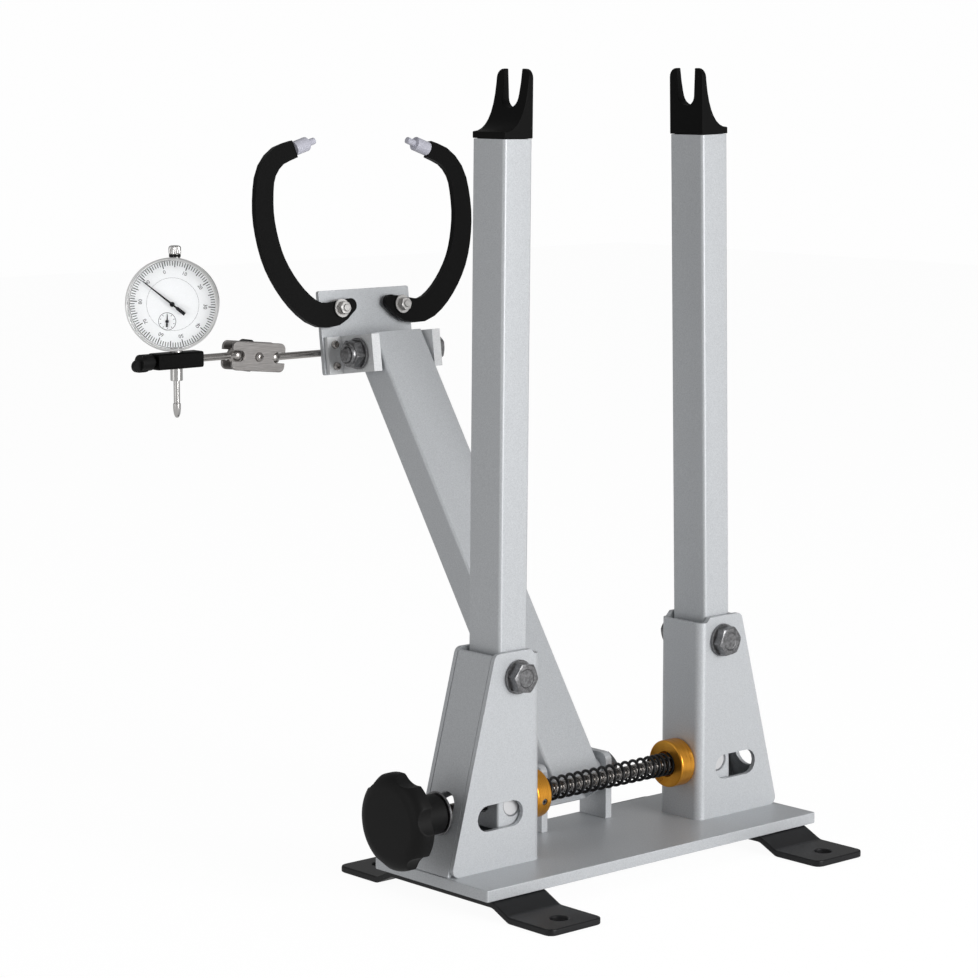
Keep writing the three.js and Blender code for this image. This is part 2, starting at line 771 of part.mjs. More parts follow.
// Caliper arm: a flat plate along a bowed path from its rounded tail past its bolt, wide from there
// on and narrowing again to its tip. It is drawn about its bolt.
function caliperLine() {
  const points = caliper_path.map(([x, y]) => new THREE.Vector3(x, y, 0));
  return new THREE.CatmullRomCurve3(points, false, 'centripetal');
}

function caliperArm(way) {
  const line = caliperLine();
  const steps = 24;
  const half_tail = caliper_tail_width / 2;
  const edges = { left: [], right: [] };
  for (let k = 0; k <= steps; k += 1) {
    const share = k / steps;
    const centre = line.getPointAt(share);
    const tangent = line.getTangentAt(share);
    const full = caliper_width + (caliper_tip_width - caliper_width) * share ** 3;
    const widening = THREE.MathUtils.smoothstep(share, 0, caliper_widening_share);
    const half = (caliper_tail_width + (full - caliper_tail_width) * widening) / 2;
    edges.left.push(new THREE.Vector2(centre.x - tangent.y * half, centre.y + tangent.x * half));
    edges.right.push(new THREE.Vector2(centre.x + tangent.y * half, centre.y - tangent.x * half));
  }
  const direction = line.getTangentAt(0);
  const tail_end = new THREE.Vector2(...caliper_path[0]);
  const tail = [];
  const back = Math.atan2(-direction.y, -direction.x);
  for (let k = 0; k <= 8; k += 1) {
    const angle = back - pi / 2 + (pi * k) / 8;
    tail.push(new THREE.Vector2(Math.cos(angle), Math.sin(angle)).multiplyScalar(half_tail).add(tail_end));
  }
  const shape = [...tail, ...edges.right, ...edges.left.reverse()];
  const placed = shape.map(({ x, y }) => caliperPlace(way, x, y));
  const hole = circle(way * caliper_place, caliper_rise, caliper_thread + 2 * gap, 16);
  const [front, back_face] = [-caliper_spacer - caliper_thick, -caliper_spacer];
  const arm = prism('y', placed, front, back_face).subtract(prism('y', hole, front - overrun, overrun));
  const { centre, aim } = tipFrame(way);
  const socket_end = centre.clone().addScaledVector(aim, -tip_shank_length - gap);
  const mouth = centre.clone().addScaledVector(aim, overrun);
  return arm.subtract(bar(socket_end, mouth, tip_shank_diameter + 2 * gap));
}

// A caliper's point on the head plate, for its side and its turn at rest.
function caliperPlace(way, x, y) {
  const point = new THREE.Vector2(way * x, y).rotateAround(new THREE.Vector2(), -caliper_rest_turn);
  return new THREE.Vector2(way * caliper_place + point.x, caliper_rise + point.y);
}

// Where a caliper arm ends, and the direction that its tip points in.
function tipFrame(way) {
  const line = caliperLine();
  const [last, before] = [line.getPointAt(1), line.getPointAt(tip_aim_share)];
  const [end, inner] = [last, before].map(({ x, y }) => {
    const place = caliperPlace(way, x, y);
    return new THREE.Vector3(place.x, -caliper_spacer - caliper_thick / 2, place.y);
  });
  return { centre: end, aim: end.clone().sub(inner).normalize() };
}

// Round bar between two points.
function bar(from, to, diameter, round_sides = 12) {
  const length = from.distanceTo(to);
  const geometry = new THREE.CylinderGeometry(diameter / 2, diameter / 2, length, round_sides);
  const up = new THREE.Vector3(0, 1, 0);
  const turn = new THREE.Quaternion().setFromUnitVectors(up, to.clone().sub(from).normalize());
  geometry.applyQuaternion(turn);
  geometry.translate(...from.clone().add(to).multiplyScalar(1 / 2));
  return solid(geometry);
}

// Plastic tip: a shank in the arm, a collar and a thin pin.
function caliperTip(way) {
  const { centre, aim } = tipFrame(way);
  const at = (distance) => centre.clone().addScaledVector(aim, distance);
  const middle = at(gap + tip_body_length / 2);
  const body_end = gap + tip_body_length;
  return bar(at(-tip_shank_length), middle, tip_shank_diameter)
    .add(bar(at(gap), at(body_end), tip_body_diameter, 20))
    .add(bar(middle, at(body_end + tip_pin_length), tip_pin_diameter, 14));
}

// Bolt of a caliper: head behind the plate, a spacer, and in front a washer and a nut.
function caliperBolt(way) {
  const at = [way * caliper_place, caliper_rise];
  const behind = head_thick + gap;
  const front = -caliper_spacer - caliper_thick - gap;
  const washer = front - caliper_washer_thick;
  const nut_top = washer - caliper_nut;
  return prism('y', circle(...at, caliper_thread, 16), nut_top - caliper_nut / 4, behind + caliper_nut)
    .add(prism('y', hexagon(...at, caliper_nut_flats), behind, behind + caliper_nut))
    .add(prism('y', circle(...at, caliper_washer), gap - caliper_spacer, -gap))
    .add(prism('y', circle(...at, caliper_washer), washer, front))
    .add(prism('y', hexagon(...at, caliper_nut_flats), nut_top, washer));
}

// The balls seat on the rims of the holes in the swivel's plates.
const ball_radius = Math.hypot(ball_hole_diameter, swivel_spread) / 2 - gap;

function ball(x, y, z) {
  const geometry = new THREE.SphereGeometry(ball_radius, 18, 12);
  geometry.translate(x, y, z);
  return solid(geometry);
}

// Rod from the block to the head-side ball.
function headRod() {
  const [y, z] = [head_thick + head_rod_behind, head_rod_rise];
  return prism('x', circle(y, z, small_rod_diameter, 16), -head_ball_place, block_right)
    .add(ball(-head_ball_place, y, z));
}

// Swivel plate, drawn about the middle between the two balls. Its right end is open for the rod.
function swivelPlate(way) {
  const half = ball_spacing / 2;
  const [length, height] = [swivel_length / 2, swivel_height / 2];
  const inner = (way * swivel_spread) / 2;
  const outer = inner + way * swivel_plate;
  const [from, to] = [inner - way * overrun, outer + way * overrun];
  return prism('y', rectangle(-length, length, -height, height, swivel_corner), inner, outer)
    .subtract(prism('y', circle(-half, 0, ball_hole_diameter), from, to))
    .subtract(prism('y', slot([half, 0], [length + overrun, 0], ball_hole_diameter), from, to))
    .subtract(prism('y', circle(0, 0, swivel_screw_thread + 2 * gap, 16), from, to));
}

function swivelScrew() {
  const face = swivel_spread / 2 + swivel_plate;
  return prism('y', circle(0, 0, swivel_screw_thread, 16), -face, face + thumb_nut_width)
    .add(turned('y', [0, 0], [
      [0, -face - swivel_screw_height], [swivel_screw_head / 4, -face - swivel_screw_height],
      [swivel_screw_head / 2, -face - swivel_screw_height / 2], [swivel_screw_head / 2, -face], [0, -face],
    ], 20));
}

// Thumb nut behind the swivel, its rim in soft lobes.
function thumbNut() {
  const seat = swivel_spread / 2 + swivel_plate + gap;
  const end = seat + thumb_nut_width;
  const swing = thumb_nut_diameter / 16;
  const points = [];
  const count = thumb_nut_lobes * 8;
  for (let k = 0; k < count; k += 1) {
    const angle = (2 * pi * k) / count;
    const radius = thumb_nut_diameter / 2 - swing + swing * Math.cos(thumb_nut_lobes * angle);
    points.push(new THREE.Vector2(Math.cos(angle) * radius, Math.sin(angle) * radius));
  }
  return prism('y', points, seat, end)
    .subtract(prism('y', circle(0, 0, swivel_screw_thread + 2 * gap, 16), seat - overrun, end + overrun));
}

// The dial's pieces are drawn about its stem's axis, with Z at the height of the dial rod.
const clamp_half = clamp_length / 2;

function dialRod(ball_place) {
  return prism('x', circle(0, 0, small_rod_diameter, 16), clamp_half - dial_rod_inset, ball_place)
    .add(ball(ball_place, 0, 0));
}

function dialClamp() {
  const [y, z] = [clamp_depth / 2, clamp_height / 2];
  const rod_bore = circle(0, 0, small_rod_diameter + 2 * gap, 16);
  const screw_bore = circle(0, 0, clamp_screw_thread + 2 * gap, 16);
  return prism('x', rectangle(-y, y, -z, z, clamp_corner), -clamp_half, clamp_half)
    .subtract(prism('z', circle(0, 0, stem_diameter + 2 * gap), -z - overrun, z + overrun))
    .subtract(prism('x', rod_bore, clamp_half - dial_rod_inset - gap, clamp_half + overrun))
    .subtract(prism('x', screw_bore, -clamp_half - overrun, clamp_screw_reach - clamp_half + gap));
}

// Clamping screw with a black thumb knob and a wing at its end.
function clampKnob() {
  const near = -clamp_half - gap;
  const neck_end = near - clamp_neck;
  const knob_end = neck_end - clamp_knob_width;
  return prism('x', circle(0, 0, clamp_screw_thread, 16), neck_end, clamp_screw_reach - clamp_half)
    .add(prism('x', circle(0, 0, clamp_neck_diameter), neck_end, near))
    .add(prism('x', circle(0, 0, clamp_knob_diameter, 20), knob_end, neck_end))
    .add(prism('y', slot(
      [knob_end + wing_width / 2, -wing_width / 4],
      [knob_end + (wing_width - wing_length) / 2, -wing_width / 4],
      wing_width,
    ), -wing_thick / 2, wing_thick / 2));
}

const dial_front = -case_half_depth;
const case_bottom = dial_rise - case_diameter / 2;
const case_top = dial_rise + case_diameter / 2;
const spindles = [[0, dial_rise], [small_dial_side, dial_rise - small_dial_drop]];

// Case: a thick disc on its stem, bored right through for the plunger.
function dialCase() {
  const rim = case_diameter / 2;
  const edge = rim / 12;
  const bore = circle(0, 0, plunger_diameter + 2 * gap, 16);
  let body = turned('y', [0, dial_rise], [
    [0, case_half_depth], [rim - edge, case_half_depth], [rim, case_half_depth - edge],
    [rim, dial_front], [0, dial_front],
  ], 40)
    .add(prism('z', circle(0, 0, stem_diameter), -stem_bottom, case_bottom + rim / 2))
    .subtract(prism('z', bore, -stem_bottom - overrun, case_top + overrun));
  for (const [x, z] of spindles) {
    const hole = circle(x, z, hand_spindle + 2 * gap, 12);
    body = body.subtract(prism('y', hole, dial_front - overrun, dial_front + hand_spindle_depth + gap));
  }
  return body;
}

function dialFace() {
  const back = dial_front - gap;
  const front = back - face_thick;
  let face = prism('y', circle(0, dial_rise, bezel_inner - 2 * gap, 48), back, front);
  for (const [x, z] of spindles) {
    const hole = circle(x, z, hand_spindle + 2 * gap, 12);
    face = face.subtract(prism('y', hole, dial_front, front - overrun));
  }
  return face;
}

// Bezel: a ring with a front lip that keeps the crystal in.
function dialBezel() {
  const back = dial_front - gap;
  const front = dial_front - bezel_depth;
  return turned('y', [0, dial_rise], [
    [bezel_inner / 2, back], [bezel_diameter / 2, back], [bezel_diameter / 2, dial_front - bezel_straight],
    [bezel_front / 2, front], [bezel_lip / 2, front], [bezel_lip / 2, front + bezel_lip_thick],
    [bezel_inner / 2, front + bezel_lip_thick],
  ], 48);
}

function dialCrystal() {
  const front = dial_front - bezel_depth + bezel_lip_thick + gap;
  return prism('y', circle(0, dial_rise, bezel_inner - 2 * gap, 48), front, front + crystal_thick);
}

// Hand: a tapered pointer with a tail, a hub and the spindle behind it.
function hand([x, z], angle, reach, tail, lift) {
  const half = hand_width / 2;
  const points = [
    [-tail, half], [-tail, -half], [0, -half], [reach, -half / 4], [reach, half / 4], [0, half],
  ];
  const placed = points.map(([u, v]) => new THREE.Vector2(u, v).rotateAround(new THREE.Vector2(), angle));
  const outlined = placed.map((point) => new THREE.Vector2(x + point.x, z + point.y));
  const near = dial_front - lift;
  const hub = Math.min(hand_hub, reach);
  return prism('y', outlined, near, near - hand_thick)
    .add(prism('y', circle(x, z, hub, 16), near, near - 2 * hand_thick))
    .add(prism('y', circle(x, z, hand_spindle, 12), near - hand_thick, dial_front + hand_spindle_depth));
}

// Plunger with its rounded contact tip.
function plunger() {
  const low = -plunger_bottom;
  const tip = tip_diameter / 2;
  const tip_end = low - tip_straight - tip_round;
  const rounding = [];
  for (let k = 1; k < tip_steps; k += 1) {
    const angle = (pi * k) / (2 * tip_steps);
    rounding.push([tip * Math.cos(angle), low - tip_straight - tip_round * Math.sin(angle)]);
  }
  return prism('z', circle(0, 0, plunger_diameter, 16), low, plunger_top)
    .add(turned('z', [0, 0], [
      [0, low], [tip, low], [tip, low - tip_straight], ...rounding, [0, tip_end],
    ], 16));
}

// Cap over the plunger's upper guide, on a narrow neck.
function dialCap() {
  const seat = case_top + gap;
  const ring = seat + dial_cap_height / 4;
  const radius = dial_cap_diameter / 2;
  const top = seat + dial_cap_height;
  const neck = radius - dial_cap_neck;
  return turned('z', [0, 0], [
    [0, seat], [radius, seat], [radius, ring], [neck, ring], [neck, ring + dial_cap_neck],
    [radius, ring + dial_cap_neck], [radius, top - dial_cap_neck], [neck, top], [0, top],
  ], 20);
}

// Fixed frame: base, feet, brackets and what is bolted through them.
add(stand_group, 'base_plate', basePlate(), silver_paint);
for (const [side, mirrored] of sides) {
  const way = mirrored ? -1 : 1;
  const half = bracket_depth / 2;
  const pivot = [pivot_place, deck + pivot_height];
  add(stand_group, `${side}_foot`, footStrip(side), black_paint, mirrored);
  add(stand_group, `${side}_bracket`, bracket(), silver_paint, mirrored);
  add(stand_group, `${side}_closing_plate`, closingPlate(), silver_paint, mirrored);
  add(stand_group, `${side}_pivot_bolt`, hexBolt('y', pivot, -half, boltEnd(half, 1)), zinc, mirrored);
  add(stand_group, `${side}_pivot_nut`, hexNut('y', pivot, half, 1), zinc, mirrored);
  add(stand_group, `${side}_collar`, collar(mirrored ? 0 : spring_seat_depth), gold_anodised, mirrored);
  const nut_place = pivot_place + Math.sin(post_lean[side]) * nutDrop(side);
  add(stand_group, `${side}_barrel_nut`, barrelNut(nut_place), zinc, mirrored);

  const post_group = new THREE.Group();
  post_group.position.set(way * pivot_place, 0, deck + pivot_height);
  post_group.rotation.y = -way * post_lean[side];
  add(post_group, `${side}_post`, post(side), silver_paint, mirrored);
  add(post_group, `${side}_dropout_cap`, dropoutCap(), black_plastic, mirrored);
  stand_group.add(post_group);
}

// Spreader screw.
const rod_line = circle(0, deck + rod_height, rod_diameter);
add(stand_group, 'spreader_screw', prism('x', rod_line, knob_front + knob_wall, rod_right), bright_steel);
add(stand_group, 'star_knob', starKnob(), black_plastic);
add(stand_group, 'knob_washer', knobWasher(), zinc);
add(stand_group, 'spreader_spring', spring(), black_spring);

// Rear lugs, the arm on its bolt, and on the arm's end the head.
const lug_group = new THREE.Group();
lug_group.position.x = arm_offset;
stand_group.add(lug_group);
const pin = [arm_pin_place, deck + arm_pin_height];
const lug_outer = lug_inner + lug_thick;
for (const [side, mirrored] of sides) {
  add(lug_group, `${side}_rear_lug`, rearLug(), silver_paint, mirrored);
}
add(lug_group, 'arm_hinge_bolt', hexBolt('x', pin, lug_outer, boltEnd(-lug_outer, -1)), zinc);
add(lug_group, 'arm_hinge_nut', hexNut('x', pin, -lug_outer, -1), zinc);

const arm_group = new THREE.Group();
arm_group.position.set(0, ...pin);
arm_group.rotation.x = -arm_lean;
lug_group.add(arm_group);
add(arm_group, 'rear_arm', rearArm(), silver_paint);

const head_group = new THREE.Group();
head_group.position.set(-arm_offset, 0, arm_length);
head_group.rotation.x = arm_lean - head_tilt;
arm_group.add(head_group);
const plate_group = new THREE.Group();
plate_group.position.y = head_bolt_setback;
head_group.add(plate_group);
add(plate_group, 'head_plate', headPlate(), silver_paint);

const angle_group = new THREE.Group();
angle_group.position.x = arm_offset;
plate_group.add(angle_group);
const leg_face = angle_inner + angle_leg;
const head_axis = [-head_bolt_setback, 0];
add(angle_group, 'head_bolt', hexBolt('x', head_axis, leg_face + gap, boltEnd(-leg_face - gap, -1)), zinc);
add(angle_group, 'head_nut', hexNut('x', head_axis, -leg_face - gap, -1), zinc);
for (const [side, mirrored] of sides) {
  const way = mirrored ? -1 : 1;
  add(angle_group, `${side}_head_lug`, angleLug(), silver_paint, mirrored);
  for (const [level, height] of [['lower', -small_screw_spacing / 2], ['upper', small_screw_spacing / 2]]) {
    add(plate_group, `${side}_${level}_screw`, smallScrew(screwPlace(way), height), bright_steel);
  }
  add(plate_group, `${side}_caliper_arm`, caliperArm(way), black_paint);
  add(plate_group, `${side}_caliper_bolt`, caliperBolt(way), bright_steel);
  add(plate_group, `${side}_caliper_tip`, caliperTip(way), white_plastic);
}
add(plate_group, 'rod_block', rodBlock(), silver_paint);
add(plate_group, 'head_rod', headRod(), bright_steel);

// Swivel between the head rod's ball and the dial rod's ball.
stand_group.updateMatrixWorld(true);
const head_ball = new THREE.Vector3(-head_ball_place, head_thick + head_rod_behind, head_rod_rise);
plate_group.localToWorld(head_ball);
const swivel_group = new THREE.Group();
swivel_group.position.copy(head_ball);
swivel_group.rotation.y = swivel_rest_turn;
stand_group.add(swivel_group);
const swivel_middle = new THREE.Group();
swivel_middle.position.x = -ball_spacing / 2;
swivel_group.add(swivel_middle);
add(swivel_middle, 'swivel_front_plate', swivelPlate(-1), bright_steel);
add(swivel_middle, 'swivel_back_plate', swivelPlate(1), bright_steel);
add(swivel_middle, 'swivel_screw', swivelScrew(), bright_steel);
add(swivel_middle, 'swivel_thumb_nut', thumbNut(), black_plastic);

// Dial indicator on its rod.
stand_group.updateMatrixWorld(true);
const dial_ball = swivel_group.localToWorld(new THREE.Vector3(-ball_spacing, 0, 0));
const rod_group = new THREE.Group();
rod_group.position.set(stem_place, dial_ball.y, dial_ball.z);
stand_group.add(rod_group);
add(rod_group, 'dial_rod', dialRod(dial_ball.x - stem_place), bright_steel);
add(rod_group, 'dial_clamp', dialClamp(), black_paint);
add(rod_group, 'clamp_knob', clampKnob(), black_plastic);
const dial_group = new THREE.Group();
dial_group.rotation.z = dial_turn;
rod_group.add(dial_group);
add(dial_group, 'dial_case', dialCase(), bright_steel);
add(dial_group, 'dial_bezel', dialBezel(), bright_steel);
add(dial_group, 'dial_crystal', dialCrystal(), clear_plastic);
add(dial_group, 'dial_face', dialFace(), white_plastic);
const main_hand = hand(spindles[0], main_hand_angle, main_hand_reach, main_hand_tail, main_hand_lift);
const small_hand = hand(spindles[1], small_hand_angle, small_hand_reach, small_hand_tail, small_hand_lift);
add(dial_group, 'main_hand', main_hand, black_paint);
add(dial_group, 'small_hand', small_hand, black_paint);
add(dial_group, 'plunger', plunger(), bright_steel);
add(dial_group, 'dial_cap', dialCap(), bright_steel);

// The whole stands on the bench plane, about the middle of its overall size.
stand_group.updateMatrixWorld(true);
const whole = new THREE.Box3().setFromObject(stand_group, true);
const middle = whole.getCenter(new THREE.Vector3());
stand_group.position.set(-middle.x, -middle.y, -whole.min.z);

export default stand_group;
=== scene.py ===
import math

import bpy
from mathutils import Matrix, Vector


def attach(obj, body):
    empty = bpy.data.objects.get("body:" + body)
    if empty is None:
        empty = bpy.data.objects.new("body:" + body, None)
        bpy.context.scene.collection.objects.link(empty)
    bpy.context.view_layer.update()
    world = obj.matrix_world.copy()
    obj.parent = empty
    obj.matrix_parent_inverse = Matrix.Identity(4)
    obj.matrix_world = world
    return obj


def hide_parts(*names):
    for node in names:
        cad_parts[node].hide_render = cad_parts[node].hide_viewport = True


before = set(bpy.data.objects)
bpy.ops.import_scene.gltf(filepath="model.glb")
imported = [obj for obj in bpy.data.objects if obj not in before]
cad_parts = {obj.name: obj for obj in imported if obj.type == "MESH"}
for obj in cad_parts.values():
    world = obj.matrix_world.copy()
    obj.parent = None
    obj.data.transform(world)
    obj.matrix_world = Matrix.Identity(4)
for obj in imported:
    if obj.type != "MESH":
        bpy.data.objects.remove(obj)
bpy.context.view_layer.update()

# Studio. A long lens stands to the front left, a little above the middle of the posts. A large soft lamp
# is at the front, and two weak ones fill in from the left and from above, so that faces to the front are
# bright and faces to the left are darker. Places here and below are counted from the centre of the base
# plate's underside, which is base_middle in the part's frame, in millimetres but for the lamps'.
MM = 0.001


def at(x, y, z):
    """Shift by millimetres."""
    return Matrix.Translation(Vector((x, y, z)) * MM)


def turn(degrees, axis):
    """Turn about an axis through the origin."""
    return Matrix.Rotation(math.radians(degrees), 4, axis)


base_middle = at(22.925, -78.609, 10.8)
view_aim = at(-52.90, 47.23, 226.97)
view_direction = -41.762
view_tilt = 8.106
view_distance = 1900
camera = bpy.data.cameras.new("camera")
camera.lens = 112.73
camera.sensor_width = 36
camera.clip_end = 20
camera_object = bpy.data.objects.new("camera", camera)
view_turn = turn(view_direction, "Z") @ turn(90 - view_tilt, "X")
camera_object.matrix_world = base_middle @ view_aim @ view_turn @ at(0, 0, view_distance)
bpy.context.collection.objects.link(camera_object)
bpy.context.scene.camera = camera_object


def lamp(name, place, aim, size, power):
    """Soft rectangular lamp at a place, turned to what it lights, all in metres."""
    light = bpy.data.lights.new(name, "AREA")
    light.shape = "RECTANGLE"
    light.size, light.size_y = size
    light.energy = power
    holder = bpy.data.objects.new(name, light)
    away = Vector(place) - Vector(aim)
    facing = away.to_track_quat("Z", "Y").to_matrix().to_4x4()
    holder.matrix_world = base_middle @ Matrix.Translation(place) @ facing
    bpy.context.collection.objects.link(holder)


lamp("front", place=(0.5, -3.0, 0.7), aim=(0, 0, 0.25), size=(1.6, 1.8), power=84)
lamp("left", place=(-2.8, 0.5, 0.8), aim=(0, 0, 0.2), size=(1.4, 1.6), power=13.5)
lamp("overhead", place=(0.1, 0.4, 2.4), aim=(0, 0, 0.2), size=(1.6, 1.6), power=1.5)


class Value:
    """A shader value. Sums, differences and products of values add Math nodes."""

    def __init__(self, nodes, socket):
        self.nodes = nodes
        self.socket = socket

    def beside(self, name):
        """Another output of the same node."""
        return Value(self.nodes, self.socket.node.outputs[name])

    def math(self, operation, first, second):
        return self.nodes.node("ShaderNodeMath", {"operation": operation}, {0: first, 1: second})

    def __add__(self, other):
        return self.math("ADD", self, other)

    def __sub__(self, other):
        return self.math("SUBTRACT", self, other)

    def __rsub__(self, other):
        return self.math("SUBTRACT", other, self)

    def __mul__(self, other):
        return self.math("MULTIPLY", self, other)

    __radd__ = __add__
    __rmul__ = __mul__


class Nodes:
    """The nodes of one material or of the world."""

    def __init__(self, tree):
        self.tree = tree

    def node(self, kind, settings, sockets, output=0):
        """Adds a node, sets it, feeds its sockets and gives one of its outputs."""
        made = self.tree.nodes.new(kind)
        for name, setting in settings.items():
            setattr(made, name, setting)
        for name, value in sockets.items():
            self.feed(made.inputs[name], value)
        return Value(self, made.outputs[output])

    def feed(self, socket, value):
        if isinstance(value, Value):
            self.tree.links.new(value.socket, socket)
        else:
            socket.default_value = value

    def rays(self):
        """1 for rays that come straight or through glass to the eye, and 1 for those off a mirror."""
        seen = self.node("ShaderNodeLightPath", {}, {}, "Is Camera Ray")
        shown = seen.math("MAXIMUM", seen, seen.beside("Is Transmission Ray"))
        return shown, seen.beside("Is Glossy Ray")


# The sky looks white and lights the object with much less.
sky_seen = 0.99
sky_light = 0.26
sky_mirrored = 0.1
world = bpy.data.worlds.new("studio")
bpy.context.scene.world = world
world.use_nodes = True
air = Nodes(world.node_tree)
shown, mirrored = air.rays()
backdrop = world.node_tree.nodes["Background"]
backdrop.inputs["Color"].default_value = (1, 1, 1, 1)
air.feed(backdrop.inputs["Strength"], sky_light + (sky_seen - sky_light) * shown + mirrored * sky_mirrored)

# The floor is pale paper that mostly glows white to the eye, and keeps a faint shadow.
floor_glow = 1.07
glow_seen = 0.89
glow_mirrored = 0.4
bpy.ops.mesh.primitive_plane_add(size=9)
floor = bpy.context.object
floor.name = "floor"
floor_finish = bpy.data.materials.new("floor")
floor_finish.use_nodes = True
ground = Nodes(floor_finish.node_tree)
paper = ground.tree.nodes["Principled BSDF"]
paper.inputs["Base Color"].default_value = (0.8, 0.8, 0.8, 1)
paper.inputs["Roughness"].default_value = 0.9
glow = ground.node("ShaderNodeEmission", {}, {"Color": (1, 1, 1, 1), "Strength": floor_glow})
shown, mirrored = ground.rays()
glow_share = shown * glow_seen + mirrored * glow_mirrored
paper_look = Value(ground, paper.outputs["BSDF"])
floor_look = ground.node("ShaderNodeMixShader", {}, {"Fac": glow_share, 1: paper_look, 2: glow})
ground.feed(ground.tree.nodes["Material Output"].inputs["Surface"], floor_look)
floor.data.materials.append(floor_finish)


# Base plate. A thick steel plate in silver powder coat, with its edges just broken. The two brackets
# and the rear lugs are welded on it.
class Finish(Nodes):
    """A material with one main shader, drawn on the place of each point of the object."""

    def __init__(self, name, colour, roughness, metallic=0.0):
        self.material = bpy.data.materials.new(name)
        self.material.use_nodes = True
        super().__init__(self.material.node_tree)
        self.shader = self.tree.nodes["Principled BSDF"]
        self.set("Base Color", (*colour, 1))
        self.set("Roughness", roughness)
        self.set("Metallic", metallic)
        self.place = self.node("ShaderNodeTexCoord", {}, {}, "Object")

    def set(self, name, value):
        self.feed(self.shader.inputs[name], value)

    def noise(self, size, detail=2.0, stretch=None):
        """Soft noise whose grain has a size in millimetres, from about 0.3 to 0.7."""
        place = self.place
        if stretch:
            place = self.node("ShaderNodeMapping", {}, {"Vector": place, "Scale": stretch})
        sockets = {"Vector": place, "Scale": 1 / (size * MM), "Detail": detail}
        return self.node("ShaderNodeTexNoise", {}, sockets)

    def blend(self, share, low, high):
        """Colour from low to high. The Mix node's colour sockets have no names of their own."""
        mix = {"data_type": "RGBA", "clamp_factor": True}
        factor, first, second, result = 0, 6, 7, 2
        return self.node("ShaderNodeMix", mix, {factor: share, first: (*low, 1), second: (*high, 1)}, result)

    def bump(self, height, depth, strength):
        """Raises the surface by a height of 0 to 1 times a depth in millimetres."""
        bumps = {"Strength": strength, "Distance": depth * MM, "Height": height}
        self.set("Normal", self.node("ShaderNodeBump", {}, bumps))


def powder_coat(name, dark, light, roughness, metallic, shine=0.5):
    """Fine speckled coat over a faint orange-peel surface."""
    coat = Finish(name, light, roughness, metallic)
    coat.set("Specular IOR Level", shine)
    grain = coat.noise(0.9, 3.0)
    flake = coat.noise(0.35, 1.0)
    speckle = (grain - 0.5) * 0.9 + (flake - 0.5) * 1.2 + 0.5
    coat.set("Base Color", coat.blend(speckle, dark, light))
    coat.set("Roughness", roughness + (flake - 0.5) * 0.25)
    coat.bump(grain * 0.7 + flake * 0.3, 0.05, 0.4)
    return coat.material


silver = powder_coat("silver_coat", (0.44, 0.455, 0.475), (0.66, 0.68, 0.70), 0.42, 0.25)


def pick(piece):
    """Leaves only this piece selected."""
    bpy.ops.object.select_all(action="DESELECT")
    piece.select_set(True)
    bpy.context.view_layer.objects.active = piece


def smooth(piece, angle=32):
    """Smooth shading over shallow edges, with flat faces kept flat."""
    pick(piece)
    bpy.ops.object.shade_smooth_by_angle(angle=math.radians(angle), keep_sharp_edges=False)
    bpy.ops.object.modifier_add(type="WEIGHTED_NORMAL")
    piece.modifiers[-1].keep_sharp = True
    bpy.ops.object.modifier_apply(modifier=piece.modifiers[-1].name)


def clean(piece):
    """Welds doubled points and turns the faces outward."""
    pick(piece)
    bpy.ops.object.mode_set(mode="EDIT")
    bpy.ops.mesh.select_all(action="SELECT")
    bpy.ops.mesh.remove_doubles(threshold=0.002 * MM)
    bpy.ops.mesh.normals_make_consistent(inside=False)
    bpy.ops.object.mode_set(mode="OBJECT")


def soften(piece, edge, limit, segments=2):
    """Rounds the edges that are sharper than a limit in degrees, by a width in millimetres."""
    pick(piece)
    bpy.ops.object.modifier_add(type="BEVEL")
    rounding = piece.modifiers[-1]
    rounding.width = edge * MM
    rounding.segments = segments
    rounding.limit_method = "ANGLE"
    rounding.angle_limit = math.radians(limit)
    rounding.use_clamp_overlap = True
    bpy.ops.object.modifier_apply(modifier=rounding.name)


def hung(piece, name, body, slot, material, *nodes):
    """Names a piece, gives it its material, and hangs it on its body in place of its CAD nodes."""
    piece.name = name
    piece.data.name = name
    piece.data.materials.clear()
    piece.data.materials.append(material)
    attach(piece, body)
    if nodes:
        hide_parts(*nodes)


def eased(node, body, slot, material, edge, limit=40, segments=2):
    """A CAD node's shape, its facets on one plane joined and its edges rounded."""
    piece = bpy.data.objects.new(node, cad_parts[node].data.copy())
    bpy.context.collection.objects.link(piece)
    clean(piece)
    bpy.ops.object.mode_set(mode="EDIT")
    bpy.ops.mesh.select_all(action="SELECT")
    bpy.ops.mesh.dissolve_limited(angle_limit=math.radians(0.6))
    bpy.ops.object.mode_set(mode="OBJECT")
    soften(piece, edge, limit, segments)
    smooth(piece)
    hung(piece, node + "_dressed", body, slot, material, node)


eased("base_plate", "stand", "silver_paint", silver, edge=0.7)

# Foot strips. Bent steel flats in satin black under the base plate, each with a bench bolt's hole in
# the pad at either end. Two low-headed socket screws from below hold each to the base plate.
sides = {"left": -1, "right": 1}
foot_place = {"left": -116.7, "right": 112.4}
foot_screw_places = (-32, 32)
foot_screw_height = -3.5
foot_screw_head = [
    (0, 0), (4.6, 0), (5, -0.4), (4.6, -0.9), (3.2, -1.2), (2.2, -1.2), (2.0, -0.3), (0, -0.3),
]
foot_black = powder_coat("foot_coat", (0.003, 0.003, 0.004), (0.007, 0.007, 0.008), 0.42, 0.0, 0.32)
steel = Finish("zinc_steel", (0.50, 0.50, 0.51), 0.32, 0.95)
scuff = steel.noise(1.6, 4.0)
steel.set("Base Color", steel.blend((scuff - 0.5) * 2.4 + 0.5, (0.13, 0.13, 0.135), (0.28, 0.28, 0.285)))
steel.set("Roughness", 0.22 + scuff * 0.22)


